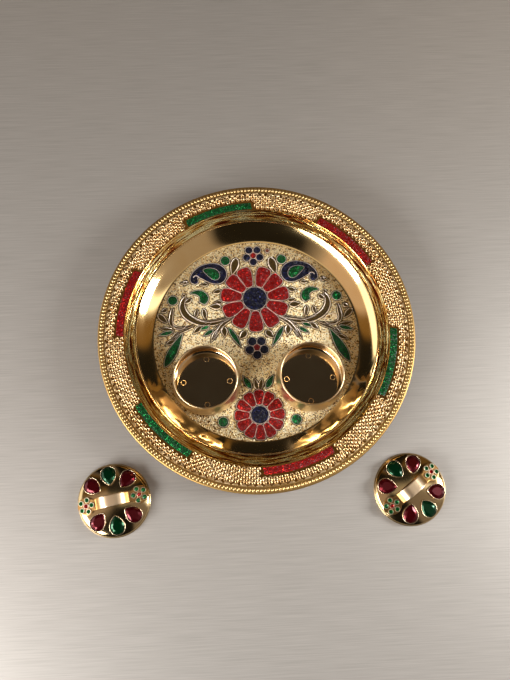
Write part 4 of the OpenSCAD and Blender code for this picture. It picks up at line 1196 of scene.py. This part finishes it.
WELD_MARKS = weld_tree()
CUP_GOLD = gold_plate(
    "gold_plate_cup", "#d2b082", "#e8cda0", 0.07, satin_and_sheen_above=CUP_BASE + 1.2 * MM)
for side in ("left", "right"):
    low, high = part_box("katori_" + side)
    centre = Vector(((low.x + high.x) / 2, (low.y + high.y) / 2, CUP_BASE))
    belly = (high.x - low.x) / 2
    outer = cup_line(belly)
    bead_centre = (belly - CUP_LEAN - CUP_BEAD_RADIUS, CUP_HEIGHT - CUP_BEAD_RADIUS)
    lines = [outer + beside(outer, CUP_WALL), circle(CUP_BEAD_RADIUS, 16, bead_centre)]
    cup = spun("katori_shell_" + side, lines, CUP_GOLD, centre=centre)
    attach(cup, "plate")
    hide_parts("katori_" + side)
    welds = made_with(WELD_MARKS, "weld_marks_" + side, bpy.data.meshes.new("weld_marks"), {
        "Marks": WELD_COUNT, "Circle radius": WELD_CIRCLE_RADIUS, "Mark radius": WELD_RADIUS,
        "Half width": WELD_HALF_WIDTH, "Half height": WELD_HALF_HEIGHT, "Finish": CUP_GOLD}, 60)
    welds.data.transform(Matrix.Translation(centre + Vector((0, 0, CUP_WALL))))
    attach(welds, "plate")


# The lids' shells: each a spun dome with a short skirt and a rolled edge, and a ring inside
# that centres it on a katori's lip. They lie on the table below the plate.

STRAP_TURNS = {"left": 10.5, "right": 37.0}
LID_LOW, LID_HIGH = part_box("lid_left")
LID_RADIUS = (LID_HIGH.x - LID_LOW.x) / 2
SHELL_RADIUS = LID_RADIUS - 0.4 * MM
SKIRT_HEIGHT = 2.4 * MM
SKIRT_LOW = 0.2 * MM
DOME_RISE = 6.4 * MM
LID_SHEET = 0.9 * MM
LID_BEAD_RADIUS = 0.8 * MM
RING_INNER, RING_OUTER, RING_LOW = 22.85 * MM, 23.65 * MM, 0.8 * MM


def set_on_lid(piece, side, node=None):
    """Moves a piece made about the origin to its lid, and lets it ride there."""
    low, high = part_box("lid_" + side)
    centre = Vector(((low.x + high.x) / 2, (low.y + high.y) / 2, low.z))
    turn = Matrix.Rotation(math.radians(STRAP_TURNS[side]), 4, "Z")
    piece.data.transform(Matrix.Translation(centre) @ turn)
    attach(piece, "lid_" + side)
    if node:
        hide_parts(node)


def dome_height(radius):
    """The level of the dome's outer surface at a radius."""
    return SKIRT_HEIGHT + DOME_RISE * math.sqrt(max(1 - (radius / SHELL_RADIUS) ** 2, 0))


def shell_lines():
    """The closed lines of a lid's sheet, its rolled edge and its locating ring."""
    inner_radius, inner_rise = SHELL_RADIUS - LID_SHEET, DOME_RISE - LID_SHEET
    outer = arc((0, SKIRT_HEIGHT), SHELL_RADIUS, DOME_RISE, 0, 88, 44)
    inner = arc((0, SKIRT_HEIGHT), inner_radius, inner_rise, 84, 0, 14)
    sheet = (
        [(SHELL_RADIUS, SKIRT_LOW)] + outer
        + [(0, SKIRT_HEIGHT + DOME_RISE), (0, SKIRT_HEIGHT + inner_rise)]
        + inner + [(inner_radius, SKIRT_LOW)])
    bead = circle(LID_BEAD_RADIUS, 16, (LID_RADIUS - LID_BEAD_RADIUS, LID_BEAD_RADIUS))
    ring_top = dome_height(RING_OUTER) - LID_SHEET / 2
    ring = [
        (RING_INNER, RING_LOW), (RING_OUTER, RING_LOW), (RING_OUTER, ring_top),
        (RING_INNER, ring_top)]
    return [sheet, bead, ring]


LID_GOLD = gold_plate("gold_plate_lid", "#a8906a", "#c2a878", 0.12, waves=0.03 * MM)
for side in STRAP_TURNS:
    shell = spun("lid_shell_" + side, shell_lines(), LID_GOLD)
    set_on_lid(shell, side, "lid_" + side)


# The straps: a bent strip of polished sheet across each lid, its round ends soldered flat
# to the dome, so that a finger goes under the arch.

PAD_PLACE_RADIUS = LID_RADIUS - 8 * MM
PAD_RADIUS = 6.815 * MM
ARCH_POWER = 1.8
STRAP_WIDTH = 8.7 * MM
STRAP_SHEET = 1.0 * MM
STRAP_PEAK = 14.0 * MM
STRAP_EDGE_ROUND = 0.22 * MM
STRAP_EDGE_FROM = 0.93
SOLDER = 0.05 * MM


def dome_tilt(radius):
    """How far the dome's surface leans outward at a radius."""
    share = radius / SHELL_RADIUS
    return math.atan(DOME_RISE / SHELL_RADIUS * share / math.sqrt(1 - share ** 2))


def strap_under(x):
    """The level of the strap's under side at a distance from the lid's middle."""
    tilt = dome_tilt(PAD_PLACE_RADIUS)
    half = PAD_PLACE_RADIUS - PAD_RADIUS * math.cos(tilt)
    reach = max(abs(x), half)
    level = dome_height(PAD_PLACE_RADIUS) + SOLDER + (PAD_PLACE_RADIUS - reach) * math.tan(tilt)
    if abs(x) < half:
        wave = (1 + math.cos(math.pi * (abs(x) / half) ** ARCH_POWER)) / 2
        level += (STRAP_PEAK - level) * wave
    return level


def strap_half_width(x):
    """Half the strap's width: a strip, with a round pad at each end."""
    off = abs(x) - PAD_PLACE_RADIUS
    pad = math.sqrt(max(PAD_RADIUS ** 2 - off ** 2, 0))
    return max(pad, STRAP_WIDTH / 2) if off < 0 else pad


def stacked(shape, rings):
    """Rings of vertices joined by faces, and closed at both ends."""
    join_rings(shape, rings)
    shape.faces.new(rings[0][::-1])
    shape.faces.new(rings[-1])


def strap_of(name, finish):
    reach = PAD_PLACE_RADIUS + PAD_RADIUS
    places = [reach * math.sin(math.radians(90 * (i / 72 - 1))) for i in range(145)]
    places += [
        side * (PAD_PLACE_RADIUS - PAD_RADIUS * k / 6) for k in range(-5, 6) for side in (-1, 1)]
    places = sorted(set(round(x, 7) for x in places))[1:-1]
    across = [-1, -0.985, -0.93, -0.8, -0.5, -0.2, 0.2, 0.5, 0.8, 0.93, 0.985, 1]
    step = 0.05 * MM
    shape = bmesh.new()
    rows = []
    for x in places:
        slope = (strap_under(x + step) - strap_under(x - step)) / (2 * step)
        lean = Vector((-slope, 0, 1)).normalized()
        top, low = [], []
        for v in across:
            edge = STRAP_EDGE_ROUND * max(0, (abs(v) - STRAP_EDGE_FROM) / (1 - STRAP_EDGE_FROM))
            foot = Vector((x, v * strap_half_width(x), strap_under(x)))
            top.append(shape.verts.new(foot + lean * (STRAP_SHEET - edge)))
            low.append(shape.verts.new(foot + lean * edge * 0.5))
        rows.append(top + low[::-1])
    stacked(shape, rows)
    return finished(shape, name, [finish], 40)


# The arch top is painted pale cream above its level as a painted highlight; the ends keep the brown
STRAP_GOLD = gold_plate(
    "gold_plate_strap", "#8e683c", "#b08852", 0.32, satin_and_sheen_above=11.6 * MM, painted_sheen="#f6dab4")
for side in STRAP_TURNS:
    set_on_lid(strap_of("strap_sheet_" + side, STRAP_GOLD), side, "strap_" + side)


# The bezels: six drop-shaped collets round each dome, their points towards the middle,
# pressed from sheet and soldered on. Their round tops hold the stones down.

DROP_PLACE_RADIUS = LID_RADIUS - 9.4 * MM
DROP_LENGTH = 13.2 * MM
DROP_WIDTH = 10.36 * MM
RED_STATIONS = (45, 135, 225, 315)
GREEN_STATIONS = (90, 270)
# How far out of the drop's outline each ring of the collet lies, and how high
BEZEL_STEPS = [
    (0.9 * MM, -1.2 * MM), (0.9 * MM, 1.1 * MM), (0.87 * MM, 1.3 * MM), (0.79 * MM, 1.42 * MM),
    (0.66 * MM, 1.46 * MM), (0.53 * MM, 1.42 * MM), (0.45 * MM, 1.3 * MM),
    (0.42 * MM, 1.1 * MM), (0.42 * MM, 0.4 * MM)]


def on_dome(degrees, radius):
    """The seat of a place on the dome, its Z standing on the surface."""
    return (
        Matrix.Rotation(math.radians(degrees), 4, "Z")
        @ Matrix.Translation((radius, 0, dome_height(radius)))
        @ Matrix.Rotation(dome_tilt(radius), 4, "Y"))


def drop_outline(steps):
    """A drop with its point towards -X, anticlockwise."""
    return [
        Vector((-DROP_LENGTH / 2 * math.cos(turn),
                -DROP_WIDTH / 2 * math.sin(turn) * math.sin(turn / 2) ** 0.6 / 0.841))
        for turn in (math.tau * i / steps for i in range(steps))]


BEZEL_GOLD = gold_plate("gold_plate_bezel", "#d8c09c", "#eedabc", 0.24, grain=0.01 * MM)
for side in STRAP_TURNS:
    shape = bmesh.new()
    for degrees in RED_STATIONS + GREEN_STATIONS:
        seat = on_dome(degrees, DROP_PLACE_RADIUS)
        stacked(shape, [
            [shape.verts.new(seat @ Vector((*p, height))) for p in grown(drop_outline(44), out)]
            for out, height in BEZEL_STEPS])
    bezels = finished(shape, "collets_" + side, [BEZEL_GOLD], 45)
    set_on_lid(bezels, side, "bezels_" + side)


# The drop stones: foiled glass, cut with a flat table and two rows of facets, four red and
# two green to a lid. Most of a stone looks dark, and one or two facets flash.

STONE_SIDES = 12
STONE_GROWTH = 0.4 * MM
STONE_LEVELS = (0.4 * MM, 0.9 * MM, 1.5 * MM)


def foiled_glass(name, deep, light):
    # Glass over foil: the foil's tinted mirror is painted in, the colour lighter where a facet
    # faces the eye and deeper where it turns away, and the glass itself flashes white where a
    # window stands in it
    material, tree, shader, _ = finish_of(name)
    # Painted reflection of the foil: lighter where a facet faces the eye
    facing = add(tree, "ShaderNodeLayerWeight", {"Blend": 0.35}).outputs["Facing"]
    tone = add(tree, "ShaderNodeMix", {
        "Factor": facing, "A": linear(light), "B": linear(deep)}, data_type="RGBA")
    feed(tree, shader, {
        "Base Color": tone, "Metallic": 0.7, "Roughness": 0.16, "Specular IOR Level": 0.2,
        "Coat Weight": 0.3, "Coat Roughness": 0.02})
    return material


def cut_stone(shape, outline, seat, levels):
    """A stone as the hull of its girdle, its staggered mid facets and its table."""
    low, girdle, crown = levels
    middle = sum(outline, Vector((0, 0))) / len(outline)
    spots = [(p, low) for p in outline] + [(p, girdle) for p in outline]
    spots += [(middle + (p - middle) * 0.84, girdle + crown * 0.55) for p in outline[1::2]]
    spots += [(middle + (p - middle) * 0.58, girdle + crown) for p in outline[0::2]]
    verts = [shape.verts.new(seat @ Vector((*p, z))) for p, z in spots]
    bmesh.ops.convex_hull(shape, input=verts)


RED_STONE = foiled_glass("ruby_glass", "#160205", "#520810")
GREEN_STONE = foiled_glass("emerald_glass", "#010d07", "#03351a")
for side in STRAP_TURNS:
    for kind, stations, finish, slot in (
        ("rubies_", RED_STATIONS, RED_STONE, "stone_red"),
        ("emeralds_", GREEN_STATIONS, GREEN_STONE, "stone_green"),
    ):
        shape = bmesh.new()
        edge = grown(drop_outline(2 * STONE_SIDES), STONE_GROWTH)
        for degrees in stations:
            cut_stone(shape, edge, on_dome(degrees, DROP_PLACE_RADIUS), STONE_LEVELS)
        stones = finished(shape, kind + "cut_" + side, [finish])
        set_on_lid(stones, side, kind + side)


# The pads' florets: five small round green stones about a red one, on each pad of a strap.
# Each is cut with eight facets and glued into a drilled seat with a bright collar.

ROUND_RADIUS = 1.6 * MM
ROUND_HEIGHT = 1.4 * MM
FLORET_RADIUS = 4.5 * MM
FLORET_TURN = 36
COLLAR_RADIUS = 1.8 * MM
COLLAR_HALF_WIDTH = 0.27 * MM
COLLAR_HALF_HEIGHT = 0.6 * MM
COLLAR_LEVEL = 0.36 * MM


def stone_ring_tree():
    tree, given = named_inputs("stone_ring", {"Stones": "Int", "Ring radius": "Float"})
    ring = add(tree, "GeometryNodeCurvePrimitiveCircle", {
        "Resolution": given["Stones"], "Radius": given["Ring radius"]})
    stones = add(tree, "GeometryNodeInstanceOnPoints", {
        "Points": ring, "Instance": given["Geometry"], "Rotation": facing_out(tree)})
    return closed(tree, stones, given["Finish"])


def round_stone(name):
    """One small stone about the origin, standing on a pad."""
    shape = bmesh.new()
    levels = (0, ROUND_HEIGHT * 0.45, ROUND_HEIGHT * 0.55)
    cut_stone(shape, circle(ROUND_RADIUS, 16), Matrix.Identity(4), levels)
    return settled(shape, bpy.data.meshes.new(name))


def on_both_pads(mesh, name, finish, turn=0):
    """The same stones on the two pads of a strap, in one mesh."""
    shape = bmesh.new()
    for degrees in (0, 180):
        one = mesh.copy()
        one.transform(
            on_dome(degrees, PAD_PLACE_RADIUS)
            @ Matrix.Translation((0, 0, STRAP_SHEET + 2 * SOLDER))
            @ Matrix.Rotation(math.radians(turn), 4, "Z"))
        shape.from_mesh(one)
        bpy.data.meshes.remove(one)
    return finished(shape, name, [finish])


STONE_RING = stone_ring_tree()
SMALL_GREEN = foiled_glass("peridot_glass", "#021608", "#065a24")
SMALL_RED = foiled_glass("garnet_glass", "#300404", "#90100c")
COLLAR_GOLD = gold_plate("gold_plate_collar", "#eadcc2", "#fff4e0", 0.36)
for side in STRAP_TURNS:
    ring = made_with(STONE_RING, "floret_ring", round_stone("floret_ring"), {
        "Stones": 5, "Ring radius": FLORET_RADIUS, "Finish": SMALL_GREEN})
    greens = on_both_pads(ring.data, "floret_greens_" + side, SMALL_GREEN, FLORET_TURN)
    bpy.data.objects.remove(ring)
    set_on_lid(greens, side, "floret_green_" + side)
    reds = on_both_pads(round_stone("floret_eye"), "floret_reds_" + side, SMALL_RED)
    set_on_lid(reds, side, "floret_red_" + side)
    seats = [Vector((0, 0))] + circle(FLORET_RADIUS, 5)
    collars = wires(
        "floret_collars", [circle(COLLAR_RADIUS, 20, seat) for seat in seats],
        COLLAR_LEVEL, COLLAR_GOLD, COLLAR_HALF_WIDTH, COLLAR_HALF_HEIGHT)
    both = on_both_pads(collars.data, "floret_collars_" + side, COLLAR_GOLD, FLORET_TURN)
    smooth(both.data, 50)
    bpy.data.objects.remove(collars)
    set_on_lid(both, side)
